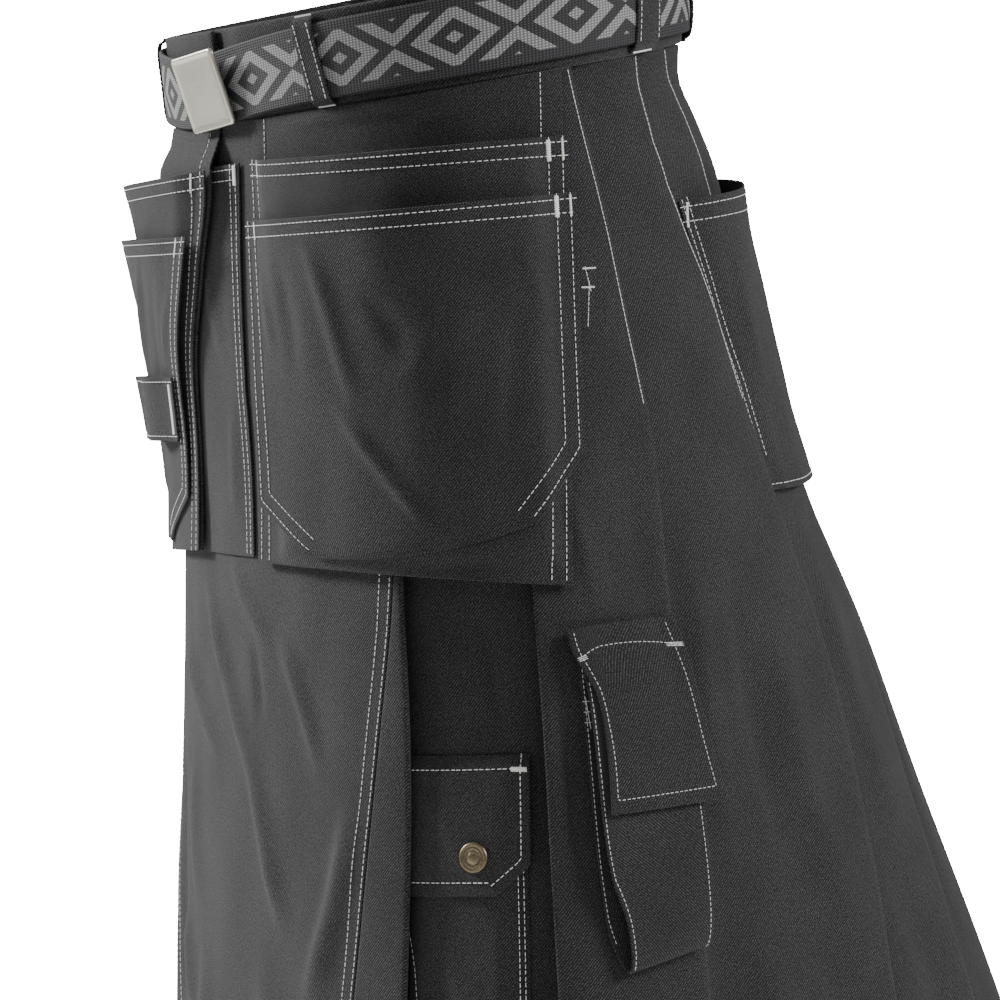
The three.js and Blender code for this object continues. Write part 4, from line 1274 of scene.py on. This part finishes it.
RIM = [  # inset from the edge and height in millimetres, from the back round to the face
    (0.9, 0.0), (0.3, 0.1), (0.05, 0.5), (0.0, 1.2), (0.1, 1.8), (0.4, 2.2), (0.9, 2.4), (1.6, 2.4),
    (2.1, 2.2), (4, 2.15), (9, 2.2), (14, 2.3), (18.5, 2.35),
]
corner_turn = np.concatenate([np.linspace(k, k + 1, 9) for k in range(4)]) * np.pi / 2
corner_x = np.repeat([1, -1, -1, 1], 9)
corner_y = np.repeat([1, 1, -1, -1], 9)
origin, level, up, outwards = facing(PLATE_ANGLE, PLATE_DROP, PLATE_STAND)
roll, tilt = np.radians(PLATE_ROLL), np.radians(PLATE_TILT)
level, up = (np.cos(roll) * level + np.sin(roll) * up, np.cos(roll) * up - np.sin(roll) * level)
up, outwards = (np.cos(tilt) * up + np.sin(tilt) * outwards,
                np.cos(tilt) * outwards - np.sin(tilt) * up)
loops = [np.tile(origin, (len(corner_turn), 1))]
for inset, high in RIM:
    radius = max(0.2, PLATE_CORNER - inset)
    x = corner_x * (PLATE_WIDE / 2 - inset - radius) + radius * np.cos(corner_turn)
    y = corner_y * (PLATE_HIGH / 2 - inset - radius) + radius * np.sin(corner_turn)
    loops.append(origin + MM * (x[:, None] * level + y[:, None] * up + high * outwards))
loops.append(np.tile(origin + MM * RIM[-1][1] * outwards, (len(corner_turn), 1)))
fit(from_rings("belt_buckle_plate", nickel, np.stack(loops)), "belt_buckle")


# Floor, light and camera
# A plain pale studio: the kilt hangs at waist height over a pale floor, lit by large soft lights.
FLOOR_DROP, FLOOR_HALF = 1.05, 3.4
floor_mesh = bpy.data.meshes.new("floor")
corners = [(FLOOR_HALF * x, FLOOR_HALF * y, -FLOOR_DROP) for x, y in
           ((-1, -1), (1, -1), (1, 1), (-1, 1))]
floor_mesh.from_pydata(corners, [], [(0, 1, 2, 3)])
floor = bpy.data.objects.new("floor", floor_mesh)
bpy.context.scene.collection.objects.link(floor)
floor_mesh.materials.append(
    new_material("pale floor", Roughness=0.9, Base_Color=colour("f2f2f0"))[0])

# A cut-out's white behind the kilt, and a dimmer room that lights it
world = bpy.data.worlds.new("studio")
bpy.context.scene.world = world
world.use_nodes = True
tree = world.node_tree
room = tree.nodes["Background"]
room.inputs["Color"].default_value = (1, 1, 1, 1)
room.inputs["Strength"].default_value = 0.25
behind = node(tree, "ShaderNodeBackground", Color=(1, 1, 1, 1), Strength=30.0)
seen = node(tree, "ShaderNodeLightPath")
both = node(tree, "ShaderNodeMixShader", [("Fac", seen.outputs["Is Camera Ray"])])
tree.links.new(room.outputs[0], both.inputs[1])
tree.links.new(behind.outputs[0], both.inputs[2])
tree.links.new(both.outputs[0], tree.nodes["World Output"].inputs["Surface"])

LIGHTS = [  # place, aim, size in metres, watts
    ((-2.1, -2.1, 1.2), (0.0, 0.0, -0.25), 0.8, 190),
    ((2.6, -1.7, 1.9), (0.1, 0.0, -0.3), 1.2, 12),
    ((2.3, 1.9, 1.3), (0.1, 0.1, -0.3), 1.0, 92),
    ((-2.4, 1.4, 1.2), (0.0, 0.0, -0.3), 1.8, 14),
]
for number, (spot, aim, size, power) in enumerate(LIGHTS):
    lamp = bpy.data.lights.new(f"softbox_{number}", "AREA")
    lamp.size = size
    lamp.energy = power
    lit = bpy.data.objects.new(lamp.name, lamp)
    bpy.context.scene.collection.objects.link(lit)
    toward = np.array(aim) - np.array(spot)
    lit.rotation_euler = Vector(toward).to_track_quat("-Z", "Y").to_euler()
    lit.location = spot

# The photograph's view: a long lens from the wearer's left, a little in front and level
CAMERA_AZIMUTH, CAMERA_RISE, CAMERA_AWAY = np.radians(65), np.radians(1.5), 2.5
PIXELS_PER_MM, CENTRE_PIXEL, AXIS_PIXEL, PICTURE = 1.95, 500, 424, 1000
AIM_HEIGHT, SENSOR = -0.237, 36
right = np.array([np.cos(CAMERA_AZIMUTH), np.sin(CAMERA_AZIMUTH), 0])
back = np.array([np.sin(CAMERA_AZIMUTH) * np.cos(CAMERA_RISE),
                 -np.cos(CAMERA_AZIMUTH) * np.cos(CAMERA_RISE), np.sin(CAMERA_RISE)])
target = right * (CENTRE_PIXEL - AXIS_PIXEL) / PIXELS_PER_MM * MM + np.array([0, 0, AIM_HEIGHT])
view = bpy.data.cameras.new("photo_view")
view.sensor_width = SENSOR
view.lens = SENSOR * PIXELS_PER_MM * CAMERA_AWAY / PICTURE / MM
camera = bpy.data.objects.new("photo_view", view)
camera.location = target + CAMERA_AWAY * back
camera.rotation_euler = Vector(back).to_track_quat("Z", "Y").to_euler()
bpy.context.scene.collection.objects.link(camera)
bpy.context.scene.camera = camera
